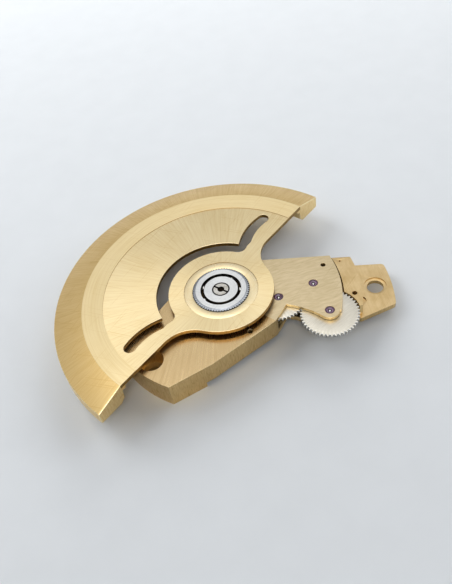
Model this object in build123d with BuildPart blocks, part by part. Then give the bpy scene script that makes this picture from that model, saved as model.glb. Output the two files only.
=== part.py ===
from build123d import *

import os
from math import acos, atan2, cos, degrees, hypot, radians, sin, sqrt

os.makedirs("parts", exist_ok=True)

# Automatic winding module of a watch: a half-disc rotor turns on a ball bearing, and its gear
# drives two reversers and a reduction wheel that run between an upper and a lower bridge.
# Millimetres. Z is the rotor axis, z = 0 is the lower bridge's main underside, and +X points
# from the rotor axis to the screw lug. Azimuths are in degrees from +X.

# General values
running_gap = 0.015             # radial play of what turns on a spindle

# Gear train
module = 0.0908                 # of every wheel between the bridges
rotor_teeth = 52
first_teeth = 41                # reverser 1's wheel, driven by the rotor gear
second_teeth = 46               # reverser 2's wheel, driven by reverser 1's wheel
lower_teeth = 29                # the gear on each reverser's arbor
reduction_teeth = 34
output_teeth = 12
output_module = 0.1
addendum_share = 0.75           # tooth height outside the pitch circle, in modules
dedendum_share = 1.0            # tooth depth inside the pitch circle, in modules
root_half_share = 0.32          # half the tooth's width at its root, in tooth steps
tip_half_share = 0.1            # half its width at the tip
tip_clearance = 0.06            # between a wheel's tips and the pocket that it runs in
first_azimuth = -12.0           # of reverser 1, seen from the rotor axis
second_heading = -28.5          # of reverser 2, seen from reverser 1

# Bridges
floor_thick = 0.42              # the lower bridge under its pockets, and the screw lug
block_height = 1.42             # the lower bridge up to the upper bridge's underside
plate_thick = 0.28              # the upper bridge
foot_drop = 0.45                # the foot under the lower bridge's left end
right_end_radius = 8.89         # both ends of the bridges are arcs about the rotor axis
left_end_radius = 8.66
far_edge_offset = 3.37          # distance of the far edge from the rotor axis
far_edge_heading = 174.3
back_edge_offset = 3.28         # distance of the slanted back edge from the rotor axis
back_edge_heading = 230.5
front_corner_azimuth = -119.3
front_bend_r = 6.26
front_bend_azimuth = -100.8
notch_start_r = 4.79
notch_start_azimuth = -40.0
notch_corner_r = 4.91
notch_corner_azimuth = -20.0
waist_r = 6.31                  # a point of the hollow curve between notch and nose
waist_azimuth = -21.3
nose_r = 0.72                   # round reverser 2's jewel
nose_start_azimuth = -10.0      # where the nose leaves the right arc, seen from its jewel
nose_end_azimuth = -135.0
foot_length = 2.7               # along the front edge
step_r = 10.35                  # the step outside the upper bridge
step_near_azimuth = -14.0
step_corner_r = 0.15

# Screw lug
lug_length = 2.44               # from the step's arc to the lug's end
lug_hole_inset = 1.26           # of the hole's middle, from the lug's end
lug_hole_r = 0.62
lug_sink_r = 0.84
lug_sink_depth = 0.12
lug_far_azimuth = 9.4
lug_near_azimuth = -8.9
lug_root_azimuth = 13.2
lug_tip_r = 10.31
lug_tip_azimuth = -16.4
lug_corner_r = 0.3
web_waist_r = 9.85              # the lower bridge's edge between lug and nose
web_waist_azimuth = -15.3

# Holes of the bridges
module_hole_r = 0.5             # for the screw that holds the module to the movement
module_sink_r = 0.886
module_sink_floor = 0.25        # height of the screw head's seat
module_hole_reach = 7.44        # from the rotor axis
module_hole_azimuth = -136.6
locating_hole_r = 0.19
locating_hole_reach = 9.78
locating_hole_azimuth = -7.5
output_relief_r = 0.85          # sunk into the underside round the output pinion
output_relief_depth = 0.06

# Jewels and arbors
jewel_r = 0.36
jewel_thick = 0.22
jewel_sides = 24                # flats that stand for a jewel's round edges
jewel_sink = 0.02               # how far a jewel's outer face lies below the bridge's face
pivot_sink = 0.02               # how far a pivot's end lies inside its hole
pivot_r = 0.115
arbor_r = 0.24
end_shake = 0.03                # axial play of an arbor
wheel_thick = 0.2
wheel_bottom = 1.19
lower_gear_thick = 0.18
lower_gear_bottom = 0.5
output_pinion_thick = 0.32
output_pinion_top = -0.04

# One-way clutches
ratchet_teeth = 12
ratchet_tip_r = 0.5
ratchet_root_r = 0.4
ratchet_top_gap = 0.015         # to the wheel that turns above it
click_thick = 0.15
click_bottom = 0.915
click_pivot_r = 0.95            # distance of a click's pivot from the arbor's axis
click_sides = 8                 # of the small flat-sided shapes that stand for a click's round ends
click_eye_r = 0.17
click_elbow_r = 0.08
click_tip_r = 0.04
click_elbow_reach = 0.73        # from the arbor's axis
click_elbow_azimuth = 35.0      # behind the click's pivot
click_tip_reach = 0.47
click_tip_azimuth = 53.0
click_face_azimuth = 58.8       # of the ratchet face that a seated click pushes
click_heading = 100.0           # of the first click's pivot, seen from its arbor
click_lift = 8.0                # degrees that a slipping click stands off
click_pin_r = 0.09

# Ball bearing
bearing_height = 0.825
bearing_top = 2.445
inner_ring_r = 1.33
outer_ring_bore_r = 1.52
outer_ring_r = 2.118
ball_count = 7
ball_r = 0.2
ball_sides = 8                  # each ball is cut with few flat faces, inside its sphere
groove_half = 0.2               # half the height of the bearing rings' grooves
groove_depth = 0.12
race_height = 2.08              # height of the balls' centres
cage_gap = 0.015
cage_bottom = 1.8
cage_top = 2.12
post_r = 0.8
inner_ring_bottom = 1.72
inner_ring_drop = 0.025         # its top below the outer ring's
bearing_screw_r = 0.25
bearing_screw_gap = 0.01
bearing_screw_length = 0.95     # under the head
bearing_head_r = 0.6
bearing_head_thick = 0.23
bearing_slot_wide = 0.16
bearing_slot_deep = 0.1

# Rotor
rotor_heading = 136.3           # of its symmetry axis
rotor_r = 12.75
rotor_top = 2.4
web_thick = 0.36
bevel_width = 2.27              # of the weight's sloping top, outside the web
web_end_inset = 0.24            # of the straight ends, from the axis
arm_root_r = 2.48               # hollow fillets between the straight ends and the hub
hub_radius = 3.94
slot_width = 0.91               # of the curved slot round the hub
slot_half_angle = 76.0
slot_end_r = 0.6                # rounds the curved slot's ends at the hub
slot_arm_width = 0.92
slot_arm_bend_r = 4.6           # of an arm's middle line, which bulges towards the rim
slot_arm_end_gap = 2.475        # from the round end's middle to the web's edge
slot_arm_web_width = 5.63       # the web outside the slot for which bend and gap are given
slot_arm_end_azimuth = 75.7
slot_arm_end_heading = 10.0     # of that middle, seen from the bend's centre
slot_arm_start_heading = -26.0
slot_arm_overrun = 7.0          # degrees that the outer edge runs on into the curved slot
bevel_drop = 0.7
rim_height = 1.75               # rotor top to the weight's underside
rim_width = 2.32                # the weight, from its inner wall to the rotor's edge
weight_inner_chamfer = 0.37
ledge_width = 0.33              # the web rests on a ledge of the weight
ledge_thick = 0.25
collar_r = 2.77
collar_drop = 0.05
collar_bottom = 1.85
gear_bore_r = 1.75

# Derived heights, radii and places
lug_outer_r = step_r + lug_length
lug_hole_x = lug_outer_r - lug_hole_inset
web_r = rotor_r - bevel_width
slot_outer_r = hub_radius + slot_width
slot_arm_size_share = (web_r - slot_outer_r) / slot_arm_web_width
weight_inner_r = rotor_r - rim_width
ledge_r = weight_inner_r - ledge_width
plate_top = block_height + plate_thick
wheel_top = wheel_bottom + wheel_thick
gear_pocket_floor = wheel_bottom - 2 * tip_clearance
web_bottom = rotor_top - web_thick
hub_top = rotor_top - collar_drop
bearing_bottom = bearing_top - bearing_height
inner_ring_top = bearing_top - inner_ring_drop
head_seat = inner_ring_top - bearing_head_thick
bearing_screw_end = head_seat - bearing_screw_length
ball_track_r = (inner_ring_r + outer_ring_bore_r) / 2
jewel_hole_r = pivot_r + running_gap
upper_jewel_bottom = plate_top - jewel_sink - jewel_thick
arbor_top = upper_jewel_bottom - end_shake
lower_gear_top = lower_gear_bottom + lower_gear_thick
ratchet_top = wheel_bottom - ratchet_top_gap
output_pinion_bottom = output_pinion_top - output_pinion_thick


def polar(radius, azimuth, centre=(0, 0)):
    """Return the point at a radius and azimuth about a centre."""
    return (centre[0] + radius * cos(radians(azimuth)), centre[1] + radius * sin(radians(azimuth)))


def meet_circle(start, heading, radius):
    """Return where a ray from start leaves a circle about the rotor axis."""
    along = start[0] * cos(radians(heading)) + start[1] * sin(radians(heading))
    reach = sqrt(along**2 - hypot(*start) ** 2 + radius**2) - along
    return polar(reach, heading, start)


def meet_line(start, heading, other_start, other_heading):
    """Return where a line through start crosses another line."""
    across = (other_start[0] - start[0], other_start[1] - start[1])
    turn = sin(radians(other_heading - heading))
    reach = (across[0] * sin(radians(other_heading)) - across[1] * cos(radians(other_heading))) / turn
    return polar(reach, heading, start)


def azimuth_of(point, centre=(0, 0)):
    """Return the azimuth of a point seen from a centre."""
    return degrees(atan2(point[1] - centre[1], point[0] - centre[0]))


def pitch_radius(teeth):
    """Return the pitch radius of one of the train's gears."""
    return teeth * module / 2


def tip_radius(teeth):
    """Return the tip radius of one of the train's gears."""
    return pitch_radius(teeth) + addendum_share * module


def gear_points(centre, teeth, tooth_module, phase, pointed=False):
    """Return a gear's outline, with straight-sided teeth, one of them centred on phase."""
    pitch_r = teeth * tooth_module / 2
    root_r = pitch_r - dedendum_share * tooth_module
    tip_r = pitch_r + addendum_share * tooth_module
    tips = (0,) if pointed else (-tip_half_share, tip_half_share)
    corners = ((root_r, -root_half_share), *((tip_r, share) for share in tips),
               (root_r, root_half_share))
    tooth_step = 360 / teeth
    return [
        polar(radius, phase + tooth_step * (tooth + share), centre)
        for tooth in range(teeth)
        for radius, share in corners
    ]


def mesh_phase(phase, teeth, heading, other_teeth):
    """Return the phase that puts the other gear, seen along heading, in mesh with this one."""
    share = ((heading - phase) * teeth / 360) % 1
    return heading + 180 + (share + 1 / 2) * 360 / other_teeth


def ratchet_points(centre):
    """Return a ratchet's outline; its steep faces point against the clockwise push of its clicks."""
    return [
        polar(radius, click_heading - click_face_azimuth - tooth * 360 / ratchet_teeth, centre)
        for tooth in range(ratchet_teeth)
        for radius in (ratchet_root_r, ratchet_tip_r)
    ]


def turned(points, centre=(0, 0), mode=Mode.ADD):
    """Revolve a section, given as points of radius and height, about the spindle at a centre."""
    upright = Plane(origin=(*centre, 0), x_dir=(1, 0, 0), z_dir=(0, -1, 0))
    with BuildSketch(upright) as section:
        with BuildLine():
            Polyline(*points, close=True)
        make_face()
    revolve(section.sketch, axis=Axis((*centre, 0), (0, 0, 1)), mode=mode)


def outlined(points, bottom, thickness):
    """Extrude a closed outline upwards from a height."""
    with BuildSketch(Plane.XY.offset(bottom)) as outline:
        with BuildLine():
            Polyline(*points, close=True)
        make_face()
    extrude(outline.sketch, amount=thickness)


def finish(part, name):
    """Label a finished piece and write it to its own file."""
    part.label = name
    export_step(part, f"parts/{name}.step")


# The train's centres: the two reversers, then the reduction wheel in mesh with both of their
# lower gears, on the far side of the line that joins them
first_at = polar(pitch_radius(rotor_teeth) + pitch_radius(first_teeth), first_azimuth)
second_at = polar(pitch_radius(first_teeth) + pitch_radius(second_teeth), second_heading, first_at)
lower_distance = pitch_radius(lower_teeth) + pitch_radius(reduction_teeth)
half_span = (pitch_radius(first_teeth) + pitch_radius(second_teeth)) / 2
reduction_heading = second_heading + degrees(acos(half_span / lower_distance))
reduction_at = polar(lower_distance, reduction_heading, first_at)
arbors_at = (first_at, reduction_at, second_at)
module_hole_at = polar(module_hole_reach, module_hole_azimuth)
locating_hole_at = polar(locating_hole_reach, locating_hole_azimuth)

rotor_phase = 0
first_phase = mesh_phase(rotor_phase, rotor_teeth, first_azimuth, first_teeth)
second_phase = mesh_phase(first_phase, first_teeth, second_heading, second_teeth)
lower_first_phase = 0
reduction_phase = mesh_phase(lower_first_phase, lower_teeth, reduction_heading, reduction_teeth)
lower_second_phase = mesh_phase(
    reduction_phase, reduction_teeth, azimuth_of(second_at, reduction_at), lower_teeth
)

# Corners that the two bridges share
far_start = polar(far_edge_offset, far_edge_heading - 90)
back_start = polar(back_edge_offset, back_edge_heading - 90)
far_right = meet_circle(far_start, far_edge_heading + 180, right_end_radius)
far_left = meet_line(far_start, far_edge_heading, back_start, back_edge_heading)
back_left = meet_circle(back_start, back_edge_heading, left_end_radius)
left_middle = polar(left_end_radius, (azimuth_of(back_left) + front_corner_azimuth) / 2)
front_corner = polar(left_end_radius, front_corner_azimuth)
front_bend = polar(front_bend_r, front_bend_azimuth)
notch_start = polar(notch_start_r, notch_start_azimuth)
notch_corner = polar(notch_corner_r, notch_corner_azimuth)
waist = polar(waist_r, waist_azimuth)
nose_end = polar(nose_r, nose_end_azimuth, second_at)
nose_middle = polar(nose_r, (nose_start_azimuth + nose_end_azimuth) / 2, second_at)
nose_start = polar(nose_r, nose_start_azimuth, second_at)
right_end = polar(right_end_radius, azimuth_of(nose_start))
right_middle = polar(right_end_radius, (azimuth_of(far_right) + azimuth_of(right_end)) / 2)

# Corners of the step and the screw lug
step_far = meet_circle(far_start, far_edge_heading + 180, step_r)
step_near = polar(step_r, step_near_azimuth)
step_middle = polar(step_r, (azimuth_of(step_far) + step_near_azimuth) / 2)
web_waist = polar(web_waist_r, web_waist_azimuth)
lug_tip = polar(lug_tip_r, lug_tip_azimuth)
lug_near = polar(lug_outer_r, lug_near_azimuth)
lug_middle = polar(lug_outer_r, (lug_near_azimuth + lug_far_azimuth) / 2)
lug_far = polar(lug_outer_r, lug_far_azimuth)
lug_root = polar(step_r, lug_root_azimuth)


def bridge_lines():
    """Draw the edges that both bridges share, from the nose round by the left end to the far edge."""
    ThreePointArc(nose_start, nose_middle, nose_end)
    ThreePointArc(nose_end, waist, notch_corner)
    Polyline(notch_corner, notch_start, front_bend, front_corner)
    ThreePointArc(front_corner, left_middle, back_left)
    Polyline(back_left, far_left, far_right)


# Lower bridge: a block with the bridges' outline and the step, on a floor that runs on to the lug
with BuildPart() as lower_bridge:
    with BuildSketch(Plane.XY):
        with BuildLine():
            bridge_lines()
            Line(far_right, step_far)
            ThreePointArc(step_far, step_middle, step_near)
            Polyline(step_near, web_waist, nose_start)
        make_face()
    extrude(amount=block_height)
    step_edge = lower_bridge.edges().filter_by(Axis.Z).sort_by_distance((*step_far, block_height / 2))[0]
    fillet(step_edge, step_corner_r)
    with BuildSketch(Plane.XY):
        with BuildLine():
            Polyline(web_waist, lug_tip, lug_near)
            ThreePointArc(lug_near, lug_middle, lug_far)
            Polyline(lug_far, lug_root, (0, 0), web_waist)
        make_face()
    extrude(amount=floor_thick)
    lug_edges = lower_bridge.edges().filter_by(Axis.Z)
    fillet([lug_edges.sort_by_distance((*corner, floor_thick / 2))[0] for corner in (lug_near, lug_far)],
           lug_corner_r)
    # Foot under the left end, cut off square to the front edge
    front_heading = azimuth_of(front_bend, front_corner)
    foot_end = polar(foot_length, front_heading, front_corner)
    foot_back = meet_line(foot_end, front_heading + 90, back_start, back_edge_heading)
    with BuildSketch(Plane.XY.offset(-foot_drop)):
        with BuildLine():
            ThreePointArc(front_corner, left_middle, back_left)
            Polyline(back_left, foot_back, foot_end, front_corner)
        make_face()
    extrude(amount=foot_drop)
    # Pockets for the wheels, open at the notch and round the big wheel
    with BuildSketch(Plane.XY.offset(floor_thick)):
        for centre, teeth in ((first_at, first_teeth), (second_at, second_teeth),
                              (reduction_at, reduction_teeth)):
            with Locations(centre):
                Circle(tip_radius(teeth) + tip_clearance)
    extrude(amount=block_height, mode=Mode.SUBTRACT)
    with BuildSketch(Plane.XY.offset(gear_pocket_floor)):
        Circle(tip_radius(rotor_teeth) + tip_clearance)
    extrude(amount=block_height, mode=Mode.SUBTRACT)
    # Holes that the arbors run in, and the relief round the output pinion
    for centre in arbors_at:
        with Locations((*centre, floor_thick)):
            Hole(arbor_r + running_gap, depth=floor_thick)
    with Locations((*reduction_at, output_relief_depth)):
        Hole(output_relief_r, depth=output_relief_depth)
    # Lug hole with its shallow counterbore
    with Locations((lug_hole_x, 0, floor_thick)):
        CounterBoreHole(lug_hole_r, lug_sink_r, lug_sink_depth, depth=floor_thick)
    # Hole for the module screw, with the seat of its head
    with Locations((*module_hole_at, block_height)):
        CounterBoreHole(module_hole_r, module_sink_r, block_height - module_sink_floor,
                        depth=block_height + foot_drop)
    with Locations((*locating_hole_at, block_height)):
        Hole(locating_hole_r, depth=block_height)
finish(lower_bridge.part, "lower_bridge")

# Upper bridge: a thin plate over the wheels
with BuildPart() as upper_bridge:
    with BuildSketch(Plane.XY.offset(block_height)):
        with BuildLine():
            bridge_lines()
            ThreePointArc(far_right, right_middle, right_end)
            Line(right_end, nose_start)
        make_face()
        Circle(tip_radius(rotor_teeth) + 2 * tip_clearance, mode=Mode.SUBTRACT)
        for centre in arbors_at:
            with Locations(centre):
                Circle(jewel_r, mode=Mode.SUBTRACT)
        with Locations(module_hole_at):
            Circle(module_sink_r, mode=Mode.SUBTRACT)
    extrude(amount=plate_thick)
finish(upper_bridge.part, "upper_bridge")

# Ring jewels in the upper bridge, one for each of the three arbors
for number, centre in enumerate(arbors_at, start=1):
    with BuildPart() as upper_jewel:
        with BuildSketch(Plane.XY.offset(upper_jewel_bottom)):
            with Locations(centre):
                RegularPolygon(jewel_r, jewel_sides)
                RegularPolygon(jewel_hole_r, jewel_sides, mode=Mode.SUBTRACT)
        extrude(amount=jewel_thick)
    finish(upper_jewel.part, f"upper_jewel_{number}")

# The stud on the lower bridge that the bearing's inner ring sits on
with BuildPart() as bearing_post:
    with BuildSketch(Plane.XY.offset(gear_pocket_floor)):
        Circle(post_r)
    extrude(amount=inner_ring_bottom - gear_pocket_floor)
    with Locations((0, 0, inner_ring_bottom)):
        Hole(bearing_screw_r + bearing_screw_gap,
             depth=inner_ring_bottom - bearing_screw_end + bearing_screw_gap)
finish(bearing_post.part, "bearing_post")

# Bearing rings, each with a groove for the balls turned in its edge
head_bore_r = bearing_head_r + running_gap
with BuildPart() as bearing_inner_ring:
    turned([(inner_ring_r, race_height - groove_half), (inner_ring_r, inner_ring_bottom),
            (bearing_screw_r + bearing_screw_gap, inner_ring_bottom),
            (bearing_screw_r + bearing_screw_gap, head_seat), (head_bore_r, head_seat),
            (head_bore_r, inner_ring_top), (inner_ring_r, inner_ring_top),
            (inner_ring_r, race_height + groove_half), (inner_ring_r - groove_depth, race_height)])
finish(bearing_inner_ring.part, "bearing_inner_ring")

with BuildPart() as bearing_outer_ring:
    turned([(outer_ring_bore_r, race_height + groove_half), (outer_ring_bore_r, bearing_top),
            (outer_ring_r, bearing_top), (outer_ring_r, bearing_bottom),
            (outer_ring_bore_r, bearing_bottom), (outer_ring_bore_r, race_height - groove_half),
            (outer_ring_bore_r + groove_depth, race_height)])
finish(bearing_outer_ring.part, "bearing_outer_ring")

with BuildPart() as bearing_screw:
    turned([(0, bearing_screw_end), (bearing_screw_r, bearing_screw_end),
            (bearing_screw_r, head_seat), (bearing_head_r, head_seat),
            (bearing_head_r, inner_ring_top), (0, inner_ring_top)])
    with Locations((0, 0, inner_ring_top)):
        Box(2 * bearing_head_r, bearing_slot_wide, 2 * bearing_slot_deep, mode=Mode.SUBTRACT)
finish(bearing_screw.part, "bearing_screw")

# Crown cage: a ring with a pocket, open above, for each ball
with BuildPart() as ball_cage:
    turned([(inner_ring_r + cage_gap, cage_bottom), (outer_ring_bore_r - cage_gap, cage_bottom),
            (outer_ring_bore_r - cage_gap, cage_top), (inner_ring_r + cage_gap, cage_top)])
    pocket_floor = race_height - ball_r - cage_gap
    with Locations((0, 0, pocket_floor)):
        with PolarLocations(ball_track_r, ball_count):
            Box(2 * (ball_r + cage_gap), 2 * (ball_r + cage_gap), cage_top - pocket_floor,
                align=(Align.CENTER, Align.CENTER, Align.MIN), mode=Mode.SUBTRACT)
finish(ball_cage.part, "ball_cage")

with BuildPart() as bearing_balls:
    with BuildSketch(Plane.XY.offset(race_height)):
        with PolarLocations(ball_track_r, ball_count):
            RegularPolygon(ball_r, ball_sides)
    ball_step = 360 / ball_sides
    extrude(amount=ball_r * sin(radians(ball_step)), taper=ball_step / 2, both=True)
finish(bearing_balls.part, "bearing_balls")

# Rotor web: a half disc with a hub and a curved slot, drawn along its symmetry axis
rotor_plane = Plane.XY.rotated((0, 0, rotor_heading))
arm_end = polar(web_r - slot_arm_size_share * slot_arm_end_gap, slot_arm_end_azimuth)
arm_bend_r = slot_arm_size_share * slot_arm_bend_r
arm_centre = polar(-arm_bend_r, slot_arm_end_heading, arm_end)
arm_inner_r = arm_bend_r - slot_arm_width / 2
arm_outer_r = arm_bend_r + slot_arm_width / 2
arm_outer_start = slot_arm_start_heading - slot_arm_overrun
with BuildPart() as rotor_web:
    with BuildSketch(rotor_plane.offset(web_bottom)) as web_outline:
        Circle(web_r)
        with Locations((web_end_inset - web_r, 0)):
            Rectangle(2 * web_r, 2 * web_r, mode=Mode.SUBTRACT)
        Circle(hub_radius)
        root_reach = sqrt(hub_radius**2 - web_end_inset**2)
        fillet([web_outline.vertices().sort_by_distance((web_end_inset, side * root_reach))[0]
                for side in (1, -1)], arm_root_r)
    extrude(amount=web_thick)
    with BuildSketch(rotor_plane.offset(web_bottom)) as slot:
        with BuildLine():
            CenterArc((0, 0), slot_outer_r, 0, slot_half_angle)
            Line(polar(slot_outer_r, slot_half_angle), polar(hub_radius, slot_half_angle))
            CenterArc((0, 0), hub_radius, 0, slot_half_angle)
            Line((hub_radius, 0), (slot_outer_r, 0))
        make_face()
        fillet(slot.vertices().sort_by_distance(polar(hub_radius, slot_half_angle))[0], slot_end_r)
        with BuildLine():
            CenterArc(arm_centre, arm_outer_r, arm_outer_start, slot_arm_end_heading - arm_outer_start)
            ThreePointArc(polar(arm_outer_r, slot_arm_end_heading, arm_centre),
                          polar(slot_arm_width / 2, slot_arm_end_heading + 90, arm_end),
                          polar(arm_inner_r, slot_arm_end_heading, arm_centre))
            CenterArc(arm_centre, arm_inner_r, slot_arm_start_heading,
                      slot_arm_end_heading - slot_arm_start_heading)
            Polyline(polar(arm_inner_r, slot_arm_start_heading, arm_centre),
                     polar(slot_outer_r, slot_half_angle),
                     polar(arm_outer_r, arm_outer_start, arm_centre))
        make_face()
        mirror(about=Plane.XZ)
    extrude(amount=web_thick, mode=Mode.SUBTRACT)
    with BuildSketch(Plane.XY.offset(web_bottom)):
        Circle(collar_r)
    extrude(amount=web_thick, mode=Mode.SUBTRACT)
finish(rotor_web.part, "rotor_web")

# Rotor weight: a heavy half rim with a bevelled top, a ledge for the web and a chamfered foot
rim_bottom = rotor_top - rim_height
with BuildPart() as rotor_weight:
    turned([(web_r, rotor_top), (rotor_r, rotor_top - bevel_drop), (rotor_r, rim_bottom),
            (weight_inner_r + weight_inner_chamfer, rim_bottom),
            (weight_inner_r, rim_bottom + weight_inner_chamfer),
            (weight_inner_r, web_bottom - ledge_thick), (ledge_r, web_bottom - ledge_thick),
            (ledge_r, web_bottom), (web_r, web_bottom)])
    split(bisect_by=Plane(origin=polar(web_end_inset, rotor_heading),
                          z_dir=(*polar(1, rotor_heading), 0)), keep=Keep.TOP)
finish(rotor_weight.part, "rotor_weight")

# Hub bush between web and bearing, and the gear under the bearing's outer ring
with BuildPart() as rotor_hub:
    with BuildSketch(Plane.XY.offset(collar_bottom)):
        Circle(collar_r)
        Circle(outer_ring_r, mode=Mode.SUBTRACT)
    extrude(amount=hub_top - collar_bottom)
finish(rotor_hub.part, "rotor_hub")

with BuildPart() as rotor_gear:
    outlined(gear_points((0, 0), rotor_teeth, module, rotor_phase, pointed=True), wheel_bottom,
             bearing_bottom - wheel_bottom)
    with Locations((0, 0, bearing_bottom)):
        Hole(gear_bore_r, depth=bearing_bottom - wheel_bottom)
finish(rotor_gear.part, "rotor_gear")

# Reversers: a wheel that runs free on its arbor, with two clicks under it that drive the arbor's
# ratchet one way only. The arbor's lower gear is cut from the same bar. At rest the first
# reverser's clicks are seated and the second one's slip.
reversers = (
    (1, first_at, first_teeth, first_phase, lower_first_phase, 0),
    (2, second_at, second_teeth, second_phase, lower_second_phase, click_lift),
)
upper_pivot_end = plate_top - jewel_sink - pivot_sink
for number, centre, teeth, phase, lower_phase, lift in reversers:
    with BuildPart() as wheel:
        outlined(gear_points(centre, teeth, module, phase), wheel_bottom, wheel_thick)
        with Locations((*centre, wheel_top)):
            Hole(arbor_r + running_gap, depth=wheel_thick)
    finish(wheel.part, f"reverser_{number}_wheel")

    with BuildPart() as arbor:
        turned([(0, pivot_sink), (arbor_r, pivot_sink), (arbor_r, arbor_top),
                (pivot_r, arbor_top), (pivot_r, upper_pivot_end), (0, upper_pivot_end)], centre)
        outlined(gear_points(centre, lower_teeth, module, lower_phase, pointed=True),
                 lower_gear_bottom, lower_gear_thick)
        outlined(ratchet_points(centre), lower_gear_top, ratchet_top - lower_gear_top)
    finish(arbor.part, f"reverser_{number}_arbor")

    pins = [polar(click_pivot_r, heading, centre) for heading in (click_heading, click_heading + 180)]
    with BuildPart() as clicks:
        for eye in pins:
            heading = azimuth_of(eye, centre)
            elbow, tip = (
                polar(radius, heading - azimuth, centre)
                for radius, azimuth in ((click_elbow_reach, click_elbow_azimuth),
                                        (click_tip_reach, click_tip_azimuth))
            )
            elbow, tip = (
                polar(hypot(point[0] - eye[0], point[1] - eye[1]), azimuth_of(point, eye) + lift, eye)
                for point in (elbow, tip)
            )
            for ends in (((eye, click_eye_r), (elbow, click_elbow_r)),
                         ((elbow, click_elbow_r), (tip, click_tip_r))):
                with BuildSketch(Plane.XY.offset(click_bottom)):
                    for place, radius in ends:
                        with Locations(place):
                            RegularPolygon(radius, click_sides)
                    make_hull()
                extrude(amount=click_thick)
            with BuildSketch(Plane.XY.offset(click_bottom)):
                with Locations(eye):
                    RegularPolygon(click_pin_r, click_sides)
            extrude(amount=click_thick, mode=Mode.SUBTRACT)
    finish(clicks.part, f"reverser_{number}_clicks")

    with BuildPart() as click_pins:
        with BuildSketch(Plane.XY.offset(click_bottom)):
            with Locations(*pins):
                RegularPolygon(click_pin_r, click_sides)
        extrude(amount=wheel_bottom - click_bottom)
    finish(click_pins.part, f"reverser_{number}_click_pins")

# Reduction wheel on its arbor, which ends in the output pinion below the lower bridge
with BuildPart() as reduction_arbor:
    outlined(gear_points(reduction_at, output_teeth, output_module, 0), output_pinion_bottom,
             output_pinion_thick)
    turned([(0, output_pinion_top), (arbor_r, output_pinion_top), (arbor_r, arbor_top),
            (pivot_r, arbor_top), (pivot_r, upper_pivot_end), (0, upper_pivot_end)], reduction_at)
finish(reduction_arbor.part, "reduction_arbor")

with BuildPart() as reduction_wheel:
    outlined(gear_points(reduction_at, reduction_teeth, module, reduction_phase, pointed=True),
             lower_gear_bottom, lower_gear_thick)
    with Locations((*reduction_at, lower_gear_top)):
        Hole(arbor_r, depth=lower_gear_thick)
finish(reduction_wheel.part, "reduction_wheel")
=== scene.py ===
"""Looks of a watch's automatic winding module: a rotor on its ball bearing and bridges."""

import logging
import math
from collections.abc import Callable, Sequence
from dataclasses import dataclass, field
from enum import Enum
from typing import Any, ClassVar

import bmesh
import bpy
from bmesh.types import BMesh
from bpy.types import (ID, Material, Mesh, MeshPolygon, Node, NodeOutputs, NodeSocket, NodeTree,
                       Object, World)
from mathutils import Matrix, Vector


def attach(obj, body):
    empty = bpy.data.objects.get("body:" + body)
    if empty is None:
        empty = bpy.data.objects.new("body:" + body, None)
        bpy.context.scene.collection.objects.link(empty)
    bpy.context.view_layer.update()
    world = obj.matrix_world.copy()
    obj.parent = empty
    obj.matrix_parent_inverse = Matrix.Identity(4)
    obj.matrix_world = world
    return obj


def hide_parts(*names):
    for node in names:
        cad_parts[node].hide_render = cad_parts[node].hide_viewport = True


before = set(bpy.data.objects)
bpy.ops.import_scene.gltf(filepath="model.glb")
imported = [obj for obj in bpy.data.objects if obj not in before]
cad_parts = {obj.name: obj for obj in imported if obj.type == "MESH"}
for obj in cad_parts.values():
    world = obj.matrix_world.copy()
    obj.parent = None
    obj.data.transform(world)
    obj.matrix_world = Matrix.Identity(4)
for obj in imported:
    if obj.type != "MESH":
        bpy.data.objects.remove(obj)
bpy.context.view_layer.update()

log = logging.getLogger("winding_module")

MM = 0.001                      # the scene is in metres, and every size below in millimetres
MERGE = 1e-7                    # metres within which two vertices are one
FLAT_ANGLE = math.radians(0.5)  # faces that turn by less are one face
SHARP_ANGLE = math.radians(28)  # an edge that turns by more is an edge of the piece
LEVEL = 0.9                     # a face looks up where the Z of its normal is above this
OVERRUN = 1.0                   # how far a cutter goes past the face that it comes out of
SAW_REACH_SHARE = 1.5           # of a screw head's radius, so that its slot runs out both ways
RING_FLATS = 120                # flats round a turned ring, a rod and a drilled hole
ROD_FLATS = 48
HOLE_FLATS = 40
BORE_FLATS = 60                 # round a toothed wheel's bore

# Values that several pieces share, the same as the CAD model's
ROTOR_HEADING = 136.3           # degrees, of the rotor's symmetry axis
RUNNING_GAP = 0.015
PLATE_TOP = 1.70
BLOCK_TOP = 1.42
TRAIN_MODULE = 0.0908           # pitch diameter for each tooth

Point = tuple[float, float]
Triple = tuple[float, float, float]


def linear(colour: str) -> tuple[float, float, float, float]:
    """Turn an sRGB hex colour into linear red, green, blue and alpha.

    Args:
        colour: Six hex digits, with or without a hash sign.

    Returns:
        The linear colour, fully opaque.
    """
    digits = colour.lstrip("#")
    parts = [int(digits[at:at + 2], 16) / 255 for at in (0, 2, 4)]
    red, green, blue = (part / 12.92 if part <= 0.04045 else ((part + 0.055) / 1.055) ** 2.4
                        for part in parts)
    return red, green, blue, 1.0


def polar(radius: float, azimuth: float, centre: Point = (0, 0)) -> Point:
    """Return the point at a radius and an azimuth in degrees about a centre."""
    turn = math.radians(azimuth)
    return centre[0] + radius * math.cos(turn), centre[1] + radius * math.sin(turn)


def arc(centre: Point, radius: float, start: float, end: float, steps: int) -> list[Point]:
    """Return points along an arc.

    Args:
        centre: Its centre.
        radius: Its radius.
        start: Azimuth of its first point, in degrees.
        end: Azimuth of its last point.
        steps: Number of its chords.

    Returns:
        The points, from start to end.
    """
    return [polar(radius, start + (end - start) * step / steps, centre)
            for step in range(steps + 1)]


def looks_up(face: MeshPolygon) -> bool:
    """Say whether a face lies level and looks up."""
    return face.normal.z > LEVEL


def top_or_wall(face: MeshPolygon) -> int:
    """Return 0 for a face that looks up, and 1 for any other."""
    return 0 if looks_up(face) else 1


# Meshes


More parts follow.
